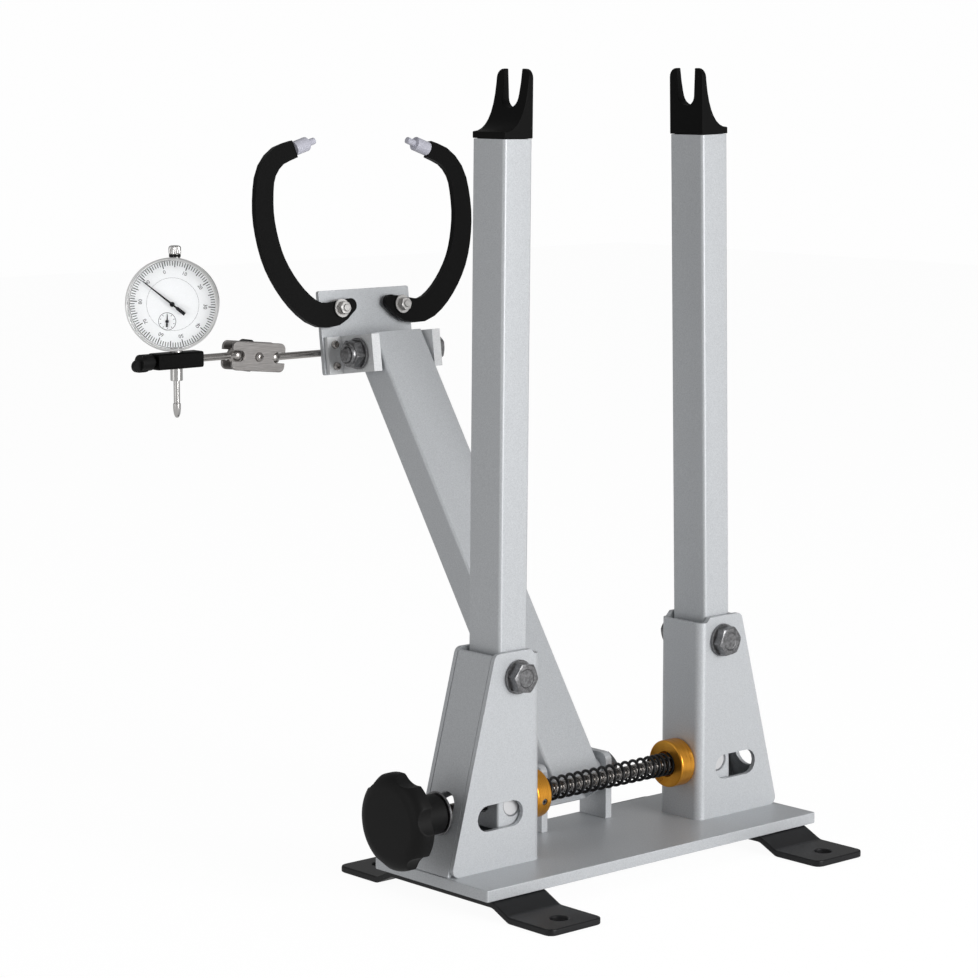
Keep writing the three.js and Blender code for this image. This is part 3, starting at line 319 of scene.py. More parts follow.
def turned(profile, steps):
    """Revolves a section of (radius, place) corners about Z, in millimetres."""
    mesh = bpy.data.meshes.new("turned")
    corners = [(radius * MM, 0, place * MM) for radius, place in profile]
    mesh.from_pydata(corners, [(i, i + 1) for i in range(len(corners) - 1)], [])
    piece = bpy.data.objects.new("turned", mesh)
    bpy.context.collection.objects.link(piece)
    pick(piece)
    bpy.ops.object.mode_set(mode="EDIT")
    bpy.ops.mesh.select_all(action="SELECT")
    bpy.ops.mesh.spin(steps=steps, angle=2 * math.pi, center=(0, 0, 0), axis=(0, 0, 1))
    bpy.ops.object.mode_set(mode="OBJECT")
    clean(piece)
    return piece


def placed(piece, where):
    """Moves a piece by moving its mesh, so that its object stays at the origin."""
    piece.data.transform(where)
    piece.data.update()
    return piece


def joined(*pieces):
    """Makes several pieces one object."""
    pick(pieces[0])
    for piece in pieces:
        piece.select_set(True)
    bpy.ops.object.join()
    return bpy.context.view_layer.objects.active


def finished(piece, *details):
    """Hangs a piece that is drawn about the middle of the base plate."""
    hung(placed(piece, base_middle), *details)


for side in sides:
    eased(side + "_foot", "stand", "black_paint", foot_black, edge=1.0, limit=30, segments=3)
    screws = []
    for place in foot_screw_places:
        screw = turned(foot_screw_head, 40)
        screws.append(placed(screw, at(foot_place[side], place, foot_screw_height)))
    screw_pair = joined(*screws)
    smooth(screw_pair)
    finished(screw_pair, side + "_foot_screws", "stand", "zinc", steel.material)

# Brackets. Each is a channel of 3 mm sheet with tapering flanges, a slotted window in both flanges,
# and a sloping plate let in between them with a slot for the screw. All are welded and silver coated.
for side in sides:
    eased(side + "_bracket", "stand", "silver_paint", silver, edge=0.5)
    eased(side + "_closing_plate", "stand", "silver_paint", silver, edge=0.5)


# Posts. Rectangular steel tubes with rounded corners, silver coated, each turning on its bolt.
# The black plastic cap on top is a fork for the wheel's axle, thin and flared outward to the tube.
def moulded(name, tone, shine):
    """Black plastic with fine pores."""
    plastic = Finish(name, (tone, tone, tone), 0.5)
    plastic.set("Specular IOR Level", shine)
    pores = plastic.noise(0.5, 2.0)
    plastic.set("Roughness", 0.44 + pores * 0.16)
    plastic.bump(pores, 0.03, 0.35)
    return plastic.material


cap_black = moulded("cap_plastic", tone=0.003, shine=0.08)
for side in sides:
    eased(side + "_post", side + "_post", "silver_paint", silver, edge=0.35, limit=60)
    eased(side + "_dropout_cap", side + "_post", "black_plastic", cap_black, edge=0.9, limit=38, segments=3)

# Pivot bolts and nuts. M10 hexagon heads, 17 mm across flats, with chamfered corners and a shallow
# dished top, on plain washers. The nuts at the back have the bolt's end standing out of them.
to_right = turn(90, "Y")
to_left = turn(-90, "Y")
to_back = turn(-90, "X")
to_front = turn(90, "X")
bolt_radius = 5
bolt_flats = 17
bolt_head_height = 6.4
bolt_edge = 0.35
washer_radius = 10.5
washer_thick = 2
pivot_place = 88.2
pivot_height = 123.2
bracket_face = 18.35


def cut(piece, tool, operation):
    """Cuts or trims one piece with another, which is used up."""
    pick(piece)
    bpy.ops.object.modifier_add(type="BOOLEAN")
    piece.modifiers[-1].operation = operation
    piece.modifiers[-1].solver = "EXACT"
    piece.modifiers[-1].object = tool
    bpy.ops.object.modifier_apply(modifier=piece.modifiers[-1].name)
    bpy.data.objects.remove(tool)


def hexagon(flats, height, spin):
    """Hexagonal block standing on the ground plane, its corners cut back by a cone at the top."""
    radius = flats / math.sqrt(3)
    bpy.ops.object.select_all(action="DESELECT")
    bpy.ops.mesh.primitive_cylinder_add(vertices=6, radius=radius * MM, depth=height * MM)
    block = bpy.context.object
    placed(block, turn(30 + spin, "Z") @ at(0, 0, height / 2))
    shoulder = height * 0.8
    top = flats * 0.48
    cone = turned([(0, -1), (radius + 1, -1), (radius + 1, shoulder), (top, height), (0, height)], 48)
    cut(block, cone, "INTERSECT")
    return block


def washer(outer, bore, thick):
    """Flat washer standing on the ground plane, its outer edges rounded off."""
    edge = thick * 0.18
    return turned([
        (bore, 0), (outer - edge, 0), (outer, edge), (outer, thick - edge), (outer - edge, thick),
        (bore, thick), (bore, 0),
    ], 56)


def bolt_head(spin):
    """Washer and hexagon head, with the dish in the top that forging leaves."""
    head = placed(hexagon(bolt_flats, bolt_head_height, spin), at(0, 0, washer_thick))
    dish = turned([(0, -0.7), (5.2, -0.7), (6.3, 0.3), (0, 0.3)], 48)
    placed(dish, at(0, 0, washer_thick + bolt_head_height))
    cut(head, dish, "DIFFERENCE")
    soften(head, bolt_edge, 35)
    return joined(head, washer(washer_radius, 4.0, washer_thick))


def shank(length):
    """Plain length of a bolt, standing on the ground plane."""
    return turned([(0, 0), (bolt_radius, 0), (bolt_radius, length), (0, length)], 32)


def nut_on_thread(spin, height=8):
    """Washer, hexagon nut and the rounded end of the bolt that passes through it."""
    nut = placed(hexagon(bolt_flats, height, spin), at(0, 0, washer_thick))
    soften(nut, bolt_edge, 35)
    ridges = [(bolt_radius - 0.35 * (i % 2), 1.5 + height + i * 0.55) for i in range(7)]
    tip = height + 5.4
    end = turned([(0, 1), (bolt_radius, 1), *ridges, (4.2, tip), (0, tip)], 40)
    return joined(nut, washer(washer_radius, 4.9, washer_thick), end)


for side, way in sides.items():
    head = placed(bolt_head(8 * way), at(way * pivot_place, -bracket_face, pivot_height) @ to_front)
    rod = placed(shank(38), at(way * pivot_place, -19, pivot_height) @ to_back)
    bolt = joined(head, rod)
    smooth(bolt)
    finished(bolt, side + "_pivot_bolt_dressed", "stand", "zinc", steel.material, side + "_pivot_bolt")
    nut = placed(nut_on_thread(12), at(way * pivot_place, bracket_face, pivot_height) @ to_back)
    smooth(nut)
    finished(nut, side + "_pivot_nut_dressed", "stand", "zinc", steel.material, side + "_pivot_nut")

# Barrel nuts. Turned bars across the posts, pale with fresh zinc, seen on end through the windows.
# The screw passes through the cross hole in the middle of each.
rod_height = 43.6
barrel_place = {"left": -89.17, "right": 89.87}
barrel_length = 27.2
pale_zinc = Finish("pale_zinc", (0.66, 0.66, 0.67), 0.45, 0.5)
pale_zinc.set("Roughness", 0.4 + pale_zinc.noise(1.5, 3.0) * 0.12)
for side in sides:
    node = side + "_barrel_nut"
    bar = turned([(0, 0), (6.2, 0), (7, 0.8), (7, 26.4), (6.2, barrel_length), (0, barrel_length)], 48)
    placed(bar, at(barrel_place[side], -barrel_length / 2, rod_height) @ to_back)
    bore = turned([(0, -12), (4.3, -12), (4.3, 12), (0, 12)], 32)
    placed(bore, at(barrel_place[side], 0, rod_height) @ to_right)
    cut(bar, bore, "DIFFERENCE")
    soften(bar, 0.2, 50)
    smooth(bar)
    finished(bar, node + "_dressed", side + "_nut", "zinc", pale_zinc.material, node)

# Spreader screw. A bright steel rod of 8 mm with its thread cut along all of it but the two tips. It
# carries the knob, the collars and the spring, and turns in the posts' barrel nuts.
bright = Finish("bright_steel", (0.42, 0.40, 0.385), 0.2, 1.0)
polish = bright.noise(2.5, 3.0)
bright.set("Roughness", 0.12 + polish * 0.16)
thread_pitch = 1.5
thread_turns = 176
thread_start = -160
core_start = -162.8
thread_section = [(4.0, 0.0), (4.0, 0.25), (3.15, 0.75), (3.15, 0.8), (4.0, 1.3), (4.0, thread_pitch)]
tooth = bpy.data.meshes.new("tooth")
corners = [(radius * MM, 0, place * MM) for radius, place in thread_section]
tooth.from_pydata(corners, [(i, i + 1) for i in range(len(corners) - 1)], [])
thread = bpy.data.objects.new("thread", tooth)
bpy.context.collection.objects.link(thread)
pick(thread)
bpy.ops.object.modifier_add(type="SCREW")
winding = thread.modifiers[-1]
winding.axis = "Z"
winding.screw_offset = thread_pitch * MM
winding.iterations = thread_turns
winding.steps = 20
winding.render_steps = 20
winding.use_merge_vertices = True
winding.merge_threshold = 0.01 * MM
bpy.ops.object.modifier_apply(modifier=winding.name)
placed(thread, at(thread_start, 0, rod_height) @ to_right)
core = turned([(0, 0), (3.4, 0), (3.6, 0.4), (3.6, 268), (3.1, 268.6), (0, 268.6)], 24)
placed(core, at(core_start, 0, rod_height) @ to_right)
smooth(thread)
smooth(core)
spreader = joined(thread, core)
finished(spreader, "spreader_screw_dressed", "spreader", "bright_steel", bright.material, "spreader_screw")

# Star knob. Black moulded plastic with six scallops, a domed face and a long round hub. Its disc is
# thinner and turned further on the screw than in the CAD, as the photograph shows it.
knob_black = moulded("knob_plastic", tone=0.007, shine=0.15)
knob_place = -138
rim = 29.6
dome_width = 9.6
dome_height = 7.4
dome_start = 30
dome_steps = 18
hub_section = [
    (4.3, 7), (4.3, 0.6), (4.8, 0), (10.9, 0), (12, 0.5), (12.3, 1.6), (12.3, 24), (12.8, 25.1), (14, 25.5),
]
disc_section = [
    (20, 25.5), (24, 25.5), (26, 25.5), (rim - 1, 25.5), (rim - 0.3, 25.8), (rim, 26.6), (rim, 28.4),
]
dome_section = []
for k in range(dome_steps + 1):
    angle = math.pi / 2 * k / dome_steps
    inward = dome_width * (1 - math.cos(angle))
    dome_section.append((rim - inward, dome_start + dome_height * math.sin(angle)))
knob = turned([*hub_section, *disc_section, *dome_section, (12, 37.5), (0, 37.5)], 360)

# Each scallop is a round groove of one radius, cut straight through the disc from face to face.
scallop_radius = 14
scallop_depth = 3.4
scallop_centre = rim - scallop_depth + scallop_radius
scallop_spacing = math.radians(60)
scallop_start = math.radians(40)
for point in knob.data.vertices:
    radius = math.hypot(point.co.x, point.co.y) / MM
    spin = math.atan2(point.co.y, point.co.x) - scallop_start
    off = (spin + scallop_spacing / 2) % scallop_spacing - scallop_spacing / 2
    reach = scallop_radius ** 2 - (scallop_centre * math.sin(off)) ** 2
    if reach > 0 and radius > 20:
        limit = scallop_centre * math.cos(off) - math.sqrt(reach)
        if limit < radius:
            point.co.x *= limit / radius
            point.co.y *= limit / radius
clean(knob)
placed(knob, at(knob_place, 0, rod_height) @ to_left)
smooth(knob, 40)
finished(knob, "star_knob_dressed", "spreader", "black_plastic", knob_black, "star_knob")

plain_washer = placed(washer(13.4, 4.4, 1.6), at(knob_place + 0.3, 0, rod_height) @ to_right)
smooth(plain_washer)
finished(plain_washer, "knob_washer_dressed", "spreader", "zinc", steel.material, "knob_washer")

# Collars. Gold anodised aluminium, turned with fine lathe marks, one at each end of the spring. The
# right one is bored out to seat the spring, and a small set screw holds the left one on the rod.
gold = Finish("gold_anodised", (0.72, 0.33, 0.035), 0.3, 0.85)
lathe_marks = gold.noise(0.25, 1.0, (1, 0.02, 0.02))
gold.set("Base Color", gold.blend((lathe_marks - 0.5) * 2 + 0.5, (0.62, 0.24, 0.018), (0.82, 0.40, 0.055)))
gold.set("Roughness", 0.24 + lathe_marks * 0.12)
gold.bump(lathe_marks, 0.02, 0.4)
collar_place = 68.5
collar_radius = 15.25
collar_side = [
    (4.3, 0.6), (4.9, 0), (14.1, 0), (14.7, 0.2), (15.1, 0.6), (collar_radius, 1.2), (collar_radius, 10.8),
    (15.1, 11.4), (14.7, 11.8),
]
spring_seat = [(14.1, 12), (8.4, 12), (7.9, 11.5), (7.9, 7.5), (4.3, 7.5), (4.3, 0.6)]
left_collar = turned([*collar_side, (14.1, 12), (4.3, 12), (4.3, 0.6)], 96)
placed(left_collar, at(-collar_place, 0, rod_height) @ to_right)
set_screw_at = at(6 - collar_place, 0, rod_height) @ turn(100, "X")
pit = turned([(0, -2), (2.1, -2), (2.1, 2), (0, 2)], 32)
placed(pit, set_screw_at @ at(0, 0, collar_radius))
cut(left_collar, pit, "DIFFERENCE")
smooth(left_collar)
finished(left_collar, "left_collar_dressed", "spreader", "gold", gold.material, "left_collar")
right_collar = turned([*collar_side, *spring_seat], 96)
placed(right_collar, at(collar_place, 0, rod_height) @ to_left)
smooth(right_collar)
finished(right_collar, "right_collar_dressed", "spreader", "gold", gold.material, "right_collar")

set_screw_section = [
    (0, 0), (1.0, 0), (1.1, 1.1), (1.7, 1.1), (1.95, 0.9), (1.95, 0), (1.95, -1), (0, -1),
]
set_screw = turned(set_screw_section, 24)
placed(set_screw, set_screw_at @ at(0, 0, collar_radius - 1.6))
smooth(set_screw)
finished(set_screw, "collar_set_screw", "spreader", "zinc", steel.material)

# Spreader spring. Black spring wire of 2 mm round the screw, in one piece: open coils along most of
# its length and closer ones where it sits in the right collar.
spring_black = Finish("spring_black", (0.006, 0.006, 0.007), 0.32)
spring_black.set("Specular IOR Level", 0.35)
spring_black.set("Roughness", 0.24 + spring_black.noise(0.8, 2.0) * 0.2)
spring_start = -56.2
spring_end = 60.7
open_turns = 14
close_turns = 4
close_pitch = 4.2
coil_radius = 6.5
coil_steps = 24
wire_radius = 1.0
end_length = 2
open_length = spring_end - spring_start - close_turns * close_pitch - 2 * end_length
path = [(spring_start, 0, coil_radius)]
for k in range((open_turns + close_turns) * coil_steps + 1):
    turns = k / coil_steps
    along = open_length * min(turns, open_turns) / open_turns + max(0, turns - open_turns) * close_pitch
    angle = 2 * math.pi * turns
    x = spring_start + end_length + along
    path.append((x, math.sin(angle) * coil_radius, math.cos(angle) * coil_radius))
path.append((spring_end, 0, coil_radius))
wire = bpy.data.curves.new("wire", "CURVE")
wire.dimensions = "3D"
wire.bevel_depth = wire_radius * MM
wire.bevel_resolution = 3
wire.use_fill_caps = True
strand = wire.splines.new("POLY")
strand.points.add(len(path) - 1)
for point, (x, y, z) in zip(strand.points, path):
    point.co = (x * MM, y * MM, (z + rod_height) * MM, 1)
spring = bpy.data.objects.new("spring", wire)
bpy.context.collection.objects.link(spring)
pick(spring)
bpy.ops.object.convert(target="MESH")
spring = bpy.context.view_layer.objects.active
clean(spring)
smooth(spring, 50)
finished(spring, "spreader_spring_dressed", "spreader", "spring", spring_black.material, "spreader_spring")

# Rear lugs and their bolt. Two thick upright plates welded on the base plate, with a long M10 bolt
# through them and through the bush in the arm's foot.
hinge_back = 38
hinge_height = 38
hinge_right = 34.0
hinge_left = -27.0
for side in sides:
    eased(side + "_rear_lug", "stand", "silver_paint", silver, edge=0.6)
head = placed(bolt_head(5), at(hinge_right, hinge_back, hinge_height) @ to_right)
rod = placed(shank(62), at(hinge_left, hinge_back, hinge_height) @ to_right)
hinge_bolt = joined(head, rod)
smooth(hinge_bolt)
finished(hinge_bolt, "arm_hinge_bolt_dressed", "stand", "zinc", steel.material, "arm_hinge_bolt")
nut = placed(nut_on_thread(12), at(hinge_left, hinge_back, hinge_height) @ to_left)
smooth(nut)
finished(nut, "arm_hinge_nut_dressed", "stand", "zinc", steel.material, "arm_hinge_nut")

# Rear arm. A rectangular steel tube, open at the top, with a round bush welded across each end. It is
# silver coated and tilts on the bolt between the rear lugs.
eased("rear_arm", "arm", "silver_paint", silver, edge=0.35, limit=60)

# Head. A flat plate on two thick angle lugs, each held by two small screws, and the head bolt that
# passes through the lugs and the arm with a large nylon-ringed nut on the left.
# The lugs' coat is the silver coat made lighter: painted light that stands in for the bright reflections on
# their faces.
lug_silver_painted_light = powder_coat("lug_coat_painted_light", (0.62, 0.63, 0.64), (0.86, 0.87, 0.88), 0.38, 0.1)
eased("head_plate", "head", "silver_paint", silver, edge=0.6)
for side in sides:
    eased(side + "_head_lug", "head", "silver_paint", lug_silver_painted_light, edge=0.5)
head_middle = 3.5
head_at = at(head_middle, 206.5, 297.97) @ turn(-7, "X")
lug_face = 29.9
head = placed(bolt_head(10), head_at @ at(lug_face, 0, 0) @ to_right)
rod = placed(shank(62), head_at @ at(-31, 0, 0) @ to_right)
head_bolt = joined(head, rod)
smooth(head_bolt)
finished(head_bolt, "head_bolt_dressed", "head", "zinc", steel.material, "head_bolt")
nut_at = head_at @ at(-lug_face, 0, 0) @ to_left
nut = placed(nut_on_thread(18, height=6.6), nut_at)
nylon_ring = turned([(5.1, 8), (7.3, 8), (7.6, 8.5), (7.2, 9.8), (6.2, 10.4), (5.1, 10.2), (5.1, 8)], 48)
head_nut = joined(nut, placed(nylon_ring, nut_at))
smooth(head_nut)
finished(head_nut, "head_nut_dressed", "head", "zinc", steel.material, "head_nut")

plate_at = head_at @ at(-head_middle, 21.2, 0)
lug_screw_place = 35.2
lug_screw_heights = {"lower": -7.2, "upper": 7.2}
lug_screw_section = [
    (0, 0.9), (1.3, 0.9), (1.4, 2.1), (2.1, 2.2), (2.6, 1.7), (2.75, 1.0), (2.75, 0), (1.5, 0), (1.5, -8),
    (0, -8),
]
for side, way in sides.items():
    for level, height in lug_screw_heights.items():
        screw_at = plate_at @ at(head_middle + way * lug_screw_place, -3.6, height) @ to_front
        screw = placed(turned(lug_screw_section, 32), screw_at)
        smooth(screw)
        node = f"{side}_{level}_screw"
        finished(screw, node + "_dressed", "head", "bright_steel", bright.material, node)
eased("rod_block", "head", "silver_paint", silver, edge=0.5)

# Rim calipers. Bowed flat arms in satin black with rounded edges. Each ends in a stepped white
# plastic tip and turns on a small bolt with a washer and nut in front.
white_plastic = Finish("white_plastic", (0.78, 0.78, 0.83), 0.35)
haze = white_plastic.noise(3.0, 2.0)
white_plastic.set("Base Color", white_plastic.blend(haze, (0.52, 0.52, 0.60), (0.59, 0.59, 0.66)))
caliper_black = powder_coat("caliper_coat", (0.002, 0.002, 0.002), (0.005, 0.005, 0.005), 0.42, 0.0, 0.08)
plated = Finish("plated_steel", (0.50, 0.49, 0.48), 0.4, 1.0)
plated.set("Roughness", 0.34 + plated.noise(1.2, 3.0) * 0.2)
caliper_place = 26.3
caliper_height = 30.95
caliper_flats = 8
caliper_washer = 6.25
for side, way in sides.items():
    body = side + "_caliper"
    eased(body + "_arm", body, "black_paint", caliper_black, edge=0.9, limit=38, segments=3)
    eased(body + "_tip", body, "white_plastic", white_plastic.material, edge=0.5, limit=50)
    bolt_at = plate_at @ at(way * caliper_place, 0, caliper_height)
    front = placed(hexagon(caliper_flats, 4, 10 * way), bolt_at @ at(0, -8.5, 0) @ to_front)
    soften(front, 0.25, 35)
    back = placed(hexagon(caliper_flats, 4, 4 * way), bolt_at @ at(0, 3.3, 0) @ to_back)
    soften(back, 0.25, 35)
    flat = placed(washer(caliper_washer, 2.4, 1.2), bolt_at @ at(0, -7.3, 0) @ to_front)
    spacer = placed(washer(caliper_washer, 2.4, 2.4), bolt_at @ at(0, -0.3, 0) @ to_front)
    rod = turned([(0, -4), (2.5, -4), (2.5, 13), (2.1, 13.5), (0, 13.5)], 32)
    pivot = joined(front, back, flat, spacer, placed(rod, bolt_at @ to_front))
    smooth(pivot)
    finished(pivot, body + "_bolt_dressed", "head", "bright_steel", plated.material, body + "_bolt")

# Rods and swivel. The head rod ends in a ball between two stamped plates, which a screw and a black
# thumb nut behind squeeze onto it and onto the ball of the dial's rod.
plates_apart = 9
plate_thick = 1.8
notch_radius = 3.5
ball_spacing = 30.6
ball_play = 0.3
ball_radius = math.hypot(2 * notch_radius, plates_apart) / 2 - ball_play
rod_radius = 2.35
ball_steps = 16
head_ball = plate_at @ at(-77.2, 6.6, 2.3)
swivel_tilt = 6
swivel_turn = Matrix.Translation(head_ball.to_translation()) @ turn(swivel_tilt, "Y")
swivel_at = swivel_turn @ at(-ball_spacing / 2, 0, 0)


def rod_with_ball(length):
    """Rod along Z from a ball at the origin."""
    neck = math.asin(rod_radius / ball_radius)
    corners = [(0, -ball_radius)]
    for k in range(1, ball_steps + 1):
        angle = math.pi - (math.pi - neck) * k / ball_steps
        corners.append((ball_radius * math.sin(angle), ball_radius * math.cos(angle)))
    return turned([*corners, (rod_radius, length - 0.4), (rod_radius - 0.4, length), (0, length)], 40)


rod = placed(rod_with_ball(58.7), head_ball @ to_right)
smooth(rod, 40)
finished(rod, "head_rod_dressed", "head_rod", "bright_steel", bright.material, "head_rod")

brushed = Finish("stamped_steel", (0.55, 0.55, 0.56), 0.36, 0.95)
streaks = brushed.noise(0.5, 3.0, (0.05, 1, 1))
grained = brushed.blend((streaks - 0.5) * 2 + 0.5, (0.22, 0.21, 0.205), (0.36, 0.345, 0.335))
brushed.set("Base Color", grained)
brushed.set("Roughness", 0.3 + streaks * 0.16)


def arc(centre, radius, first, last, steps):
    """Points on an arc between two angles in degrees."""
    points = []
    for k in range(steps + 1):
        angle = math.radians(first + (last - first) * k / steps)
        points.append((centre[0] + math.cos(angle) * radius, centre[1] + math.sin(angle) * radius))
    return points


def flat_plate(outlines, thick, edge):
    """Flat plate on the ground plane from an outline and its holes, with its edges rounded."""
    drawing = bpy.data.curves.new("plate", "CURVE")
    drawing.dimensions = "2D"
    drawing.fill_mode = "BOTH"
    drawing.extrude = (thick / 2 - edge) * MM
    drawing.bevel_depth = edge * MM
    drawing.bevel_resolution = 2
    drawing.offset = -edge * MM
    for outline in outlines:
        loop = drawing.splines.new("POLY")
        loop.points.add(len(outline) - 1)
        for point, (x, y) in zip(loop.points, outline):
            point.co = (x * MM, y * MM, 0, 1)
        loop.use_cyclic_u = True
    piece = bpy.data.objects.new("plate", drawing)
    bpy.context.collection.objects.link(piece)
    pick(piece)
    bpy.ops.object.convert(target="MESH")
    piece = bpy.context.view_layer.objects.active
    clean(piece)
    return piece


def swivel_outline():
    """Rounded plate with a notch for a ball at each end."""
    half, height, corner = 21.5, 9.5, 4.0
    points = arc((half - corner, corner - height), corner, 270, 360, 6)
    points.append((half, -notch_radius))
    points += arc((ball_spacing / 2, 0), notch_radius, 270, 90, 14)
    points.append((half, notch_radius))
    points += arc((half - corner, height - corner), corner, 0, 90, 6)
    return points + [(-x, -y) for x, y in points]


for node, way in (("swivel_front_plate", -1), ("swivel_back_plate", 1)):
    screw_hole = arc((0, 0), 2.5, 0, 345, 23)
    plate = flat_plate([swivel_outline(), screw_hole], plate_thick, 0.35)
    placed(plate, swivel_at @ at(0, way * (plates_apart + plate_thick) / 2, 0) @ to_front)
    smooth(plate)
    finished(plate, node + "_dressed", "swivel", "bright_steel", brushed.material, node)
swivel_screw_section = [
    (0, 0.9), (1.0, 0.9), (1.1, 2.1), (1.8, 2.0), (2.6, 1.5), (3.0, 0.8), (3.1, 0), (2.2, 0), (2.2, -26),
    (1.8, -26.4), (0, -26.4),
]
plate_face = plates_apart / 2 + plate_thick
screw = placed(turned(swivel_screw_section, 40), swivel_at @ at(0, -plate_face, 0) @ to_front)
smooth(screw)
finished(screw, "swivel_screw_dressed", "swivel", "bright_steel", bright.material, "swivel_screw")
eased("swivel_thumb_nut", "swivel_nut", "black_plastic", knob_black, edge=0.9, limit=60, segments=3)

ball_point = (swivel_at @ at(-ball_spacing / 2, 0, 0)).to_translation()
stem_point = Vector((-154.2 * MM, ball_point.y, ball_point.z))
short_of_stem = 11.7
dial_rod_length = (ball_point.x - stem_point.x) / MM - short_of_stem
rod = placed(rod_with_ball(dial_rod_length), Matrix.Translation(ball_point) @ to_left)
smooth(rod, 40)
finished(rod, "dial_rod_dressed", "dial_rod", "bright_steel", bright.material, "dial_rod")

# Dial clamp. A black split block round the dial indicator's stem and the end of its rod, closed by a
# screw with a small winged knob of black plastic.
eased("dial_clamp", "clamp", "black_paint", caliper_black, edge=0.7, limit=50, segments=3)
eased("clamp_knob", "clamp_knob", "black_plastic", knob_black, edge=0.6, limit=50, segments=3)

# Dial indicator. A bright turned case and bezel, a clear crystal and a white face with black hands and
# a small turn counter. The scale of a hundred divisions turns with the bezel.
dial_spin = -46
face_height = 36.7
dial_at = Matrix.Translation(stem_point) @ turn(dial_spin, "Z")
face_at = dial_at @ at(0, 0, face_height) @ to_front
chrome = Finish("dial_chrome", (0.54, 0.53, 0.52), 0.16, 1.0)
chrome.set("Roughness", 0.1 + chrome.noise(2.5, 3.0) * 0.14)
# The bezel is a satin metal whose colour is made lighter than the case's: a painted reflection of the lamp
# at the left on its front ring.
satin_painted_sheen = Finish("bezel_satin_painted_sheen", (0.88, 0.88, 0.87), 0.35, 0.55)
satin_painted_sheen.set("Roughness", 0.3 + satin_painted_sheen.noise(1.5, 3.0) * 0.12)
case_section = [(0, -9), (22, -9), (25.6, -8.6), (27.0, -7.4), (27.5, -5.5), (27.5, 8.2), (26.4, 9), (0, 9)]
stem_section = [(2.4, -13.2), (3.7, -13.2), (4, -12.8), (4, 9.6), (2.4, 9.6), (2.4, -13.2)]
case = placed(turned(case_section, 128), face_at)
stem = placed(turned(stem_section, 48), dial_at)
case = joined(case, stem)
smooth(case)
finished(case, "dial_case_dressed", "dial", "bright_steel", chrome.material, "dial_case")
bezel_section = [
    (28.5, 9.3), (29.2, 9.3), (29.65, 9.8), (29.65, 15.6), (29.5, 16.4), (29.1, 17), (28.7, 17),
    (28.4, 16.7), (28.3, 16.2), (28.3, 15.8), (28.5, 15.7), (28.5, 9.3),
]
bezel = placed(turned(bezel_section, 144), face_at)
smooth(bezel)
finished(bezel, "dial_bezel_dressed", "bezel", "bright_steel", satin_painted_sheen.material, "dial_bezel")
clear = Finish("crystal", (1, 1, 1), 0.02)
clear.set("Transmission Weight", 1.0)
clear.set("IOR", 1.08)
crystal = placed(turned([(0, 14.1), (28.2, 14.1), (28.2, 15.4), (0, 15.5)], 96), face_at)
smooth(crystal)
finished(crystal, "dial_crystal_dressed", "bezel", "crystal", clear.material, "dial_crystal")

dial_white = Finish("dial_white", (0.80, 0.81, 0.82), 0.45)
paper_grain = dial_white.noise(1.2, 2.0)
dial_white.set("Base Color", dial_white.blend(paper_grain, (0.77, 0.78, 0.79), (0.83, 0.84, 0.85)))
ink = Finish("ink", (0.012, 0.012, 0.014), 0.5)
ink.set("Specular IOR Level", 0.15)
ink.set("Roughness", 0.45 + ink.noise(0.5) * 0.1)
face_top = 10.1
face = turned([(0, 9.3), (28.1, 9.3), (28.1, face_top), (0, face_top)], 128)
placed(face, face_at)
smooth(face)
finished(face, "dial_face_dressed", "dial", "dial_white", dial_white.material, "dial_face")


def stroke(width, inner, outer, spin):
    """Printed line from one radius to another."""
    bpy.ops.object.select_all(action="DESELECT")
    bpy.ops.mesh.primitive_cube_add(size=1)
    size = Matrix.Diagonal((width * MM, (outer - inner) * MM, 0.1 * MM, 1))
    return placed(bpy.context.object, turn(spin, "Z") @ at(0, (inner + outer) / 2, 10.12) @ size)


def circle_line(inner, outer):
    """Printed circle between two radii."""
    top = 10.16
    return turned([(inner, face_top), (outer, face_top), (outer, top), (inner, top), (inner, face_top)], 128)


def written(text, size, where):
    """Plain printed numbers."""
    bpy.ops.object.select_all(action="DESELECT")
    bpy.ops.object.text_add()
    label = bpy.context.object
    label.data.body = text
    label.data.size = size * MM
    label.data.align_x = "CENTER"
    label.data.align_y = "CENTER"
    label.data.extrude = 0.03 * MM
    bpy.ops.object.convert(target="MESH")
    return placed(bpy.context.object, where)


scale_at = face_at @ turn(14, "Z")
divisions = 100
tick_end = 27.4
ticks = [circle_line(27.7, 28.0)]
for k in range(divisions):
    spin = -360 / divisions * k
    if k % 10 == 0:
        ticks.append(stroke(0.55, 23.0, tick_end, spin))
    elif k % 5 == 0:
        ticks.append(stroke(0.5, 23.5, tick_end, spin))
    else:
        ticks.append(stroke(0.42, 24.5, tick_end, spin))
scale = placed(joined(*ticks), scale_at)
numbers = []
for k in range(10):
    numbers.append(written(str(10 * k), 3.3, scale_at @ turn(-36 * k, "Z") @ at(0, 20.8, 10.14)))
marks = joined(scale, *numbers)
finished(marks, "dial_scale", "bezel", "black_paint", ink.material)

# The turn counter is printed on the face itself, with a thin circle round the whole.
counter_place = (-3.7, -11)
counter_marks = [circle_line(5.4, 5.7)]
for k in range(10):
    counter_marks.append(stroke(0.34, 4.1, 5.0, 36 * k))
counter = placed(joined(*counter_marks), at(*counter_place, 0))
marks = placed(joined(counter, circle_line(16.75, 16.87)), face_at)
finished(marks, "counter_marks", "dial", "black_paint", ink.material)


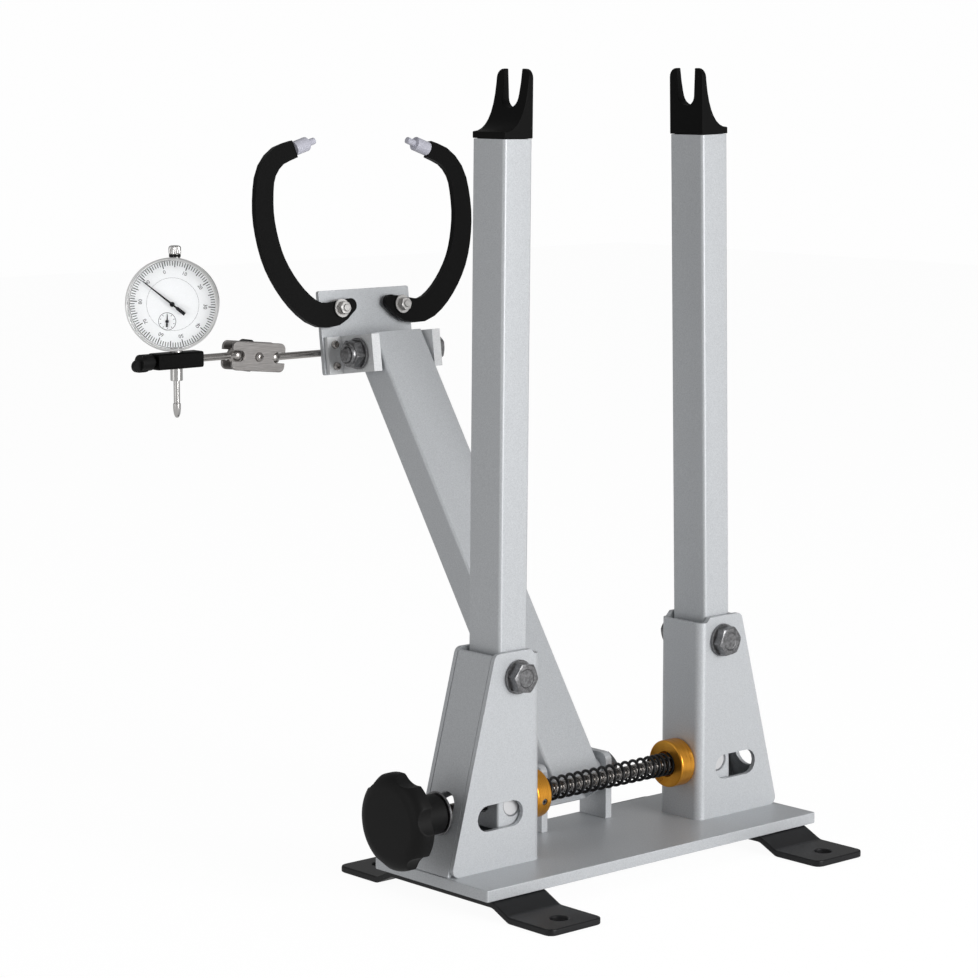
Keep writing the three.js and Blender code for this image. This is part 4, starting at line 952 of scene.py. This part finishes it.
def pointer(where, reach, tail, width, thick, hub, spin):
    """Hand with a slim taper, a broader tail and a round hub."""
    half = width / 2
    outline = [
        (-tail, half), (-tail, -half), (-tail * 0.4, -half), (-tail * 0.3, -half * 0.5), (0, -half * 0.6),
        (reach, -half * 0.25), (reach, half * 0.25), (0, half * 0.6), (-tail * 0.3, half * 0.5),
        (-tail * 0.4, half),
    ]
    blade = placed(flat_plate([outline], thick, thick * 0.3), turn(spin, "Z") @ at(0, 0, thick / 2))
    boss = turned([(0, 0), (hub, 0), (hub, thick + 0.25), (hub * 0.6, thick + 0.5), (0, thick + 0.5)], 40)
    pin = turned([(0, -3), (0.7, -3), (0.7, 0), (0, 0)], 20)
    made = placed(joined(blade, boss, pin), where)
    smooth(made)
    return made


hand = pointer(face_at @ at(0, 0, 11.8), reach=23.9, tail=10.2, width=2.2, thick=0.5, hub=1.6, spin=142)
finished(hand, "main_hand_dressed", "main_hand", "black_paint", ink.material, "main_hand")
counter_at = face_at @ at(*counter_place, 10.5)
hand = pointer(counter_at, reach=4.4, tail=3.6, width=1.3, thick=0.4, hub=1.1, spin=87)
finished(hand, "small_hand_dressed", "small_hand", "black_paint", ink.material, "small_hand")

# Cap and plunger. The turned cap on top of the dial indicator has a knurled grip and a black band
# below it. The plunger hangs from the stem and ends in a pointed foot.
cap_at = dial_at @ at(0, 0, 64.5)
cap_section = [
    (0, 0), (3.4, 0), (3.4, 1.3), (3.2, 1.5), (3.2, 3.3), (3.9, 3.5), (4.05, 3.9), (4.05, 7.4), (3.6, 8.3),
    (2.6, 8.8), (0, 9.0),
]
grip_radius = 3.7
knurl_ridges = 24
knurl_depth = 0.08
cap = turned(cap_section, 72)
for point in cap.data.vertices:
    if math.hypot(point.co.x, point.co.y) / MM > grip_radius:
        wave = math.cos(knurl_ridges * math.atan2(point.co.y, point.co.x))
        ridge = 1 - knurl_depth * (0.5 + 0.5 * wave)
        point.co.x *= ridge
        point.co.y *= ridge
placed(cap, cap_at)
smooth(cap, 30)
finished(cap, "dial_cap_dressed", "dial", "bright_steel", chrome.material, "dial_cap")
band = turned([(3.25, 1.6), (3.75, 1.6), (3.75, 3.2), (3.25, 3.2), (3.25, 1.6)], 72)
placed(band, cap_at)
smooth(band, 30)
finished(band, "dial_cap_band", "dial", "black_plastic", knob_black)
plunger_foot = [
    (0, 0), (0.8, 0.1), (1.5, 0.9), (2.1, 2.6), (2.4, 4.6), (2.5, 6.2), (2.5, 9.0), (2.3, 9.25),
    (1.9, 9.25), (1.9, 9.6), (2.05, 9.8),
]
plunger = turned([*plunger_foot, (2.05, 88.9), (1.85, 89.1), (0, 89.1)], 48)
placed(plunger, dial_at @ at(0, 0, -37.1))
smooth(plunger)
finished(plunger, "plunger_dressed", "plunger", "bright_steel", chrome.material, "plunger")

bpy.context.scene.view_settings.view_transform = "Standard"
bpy.context.view_layer.update()
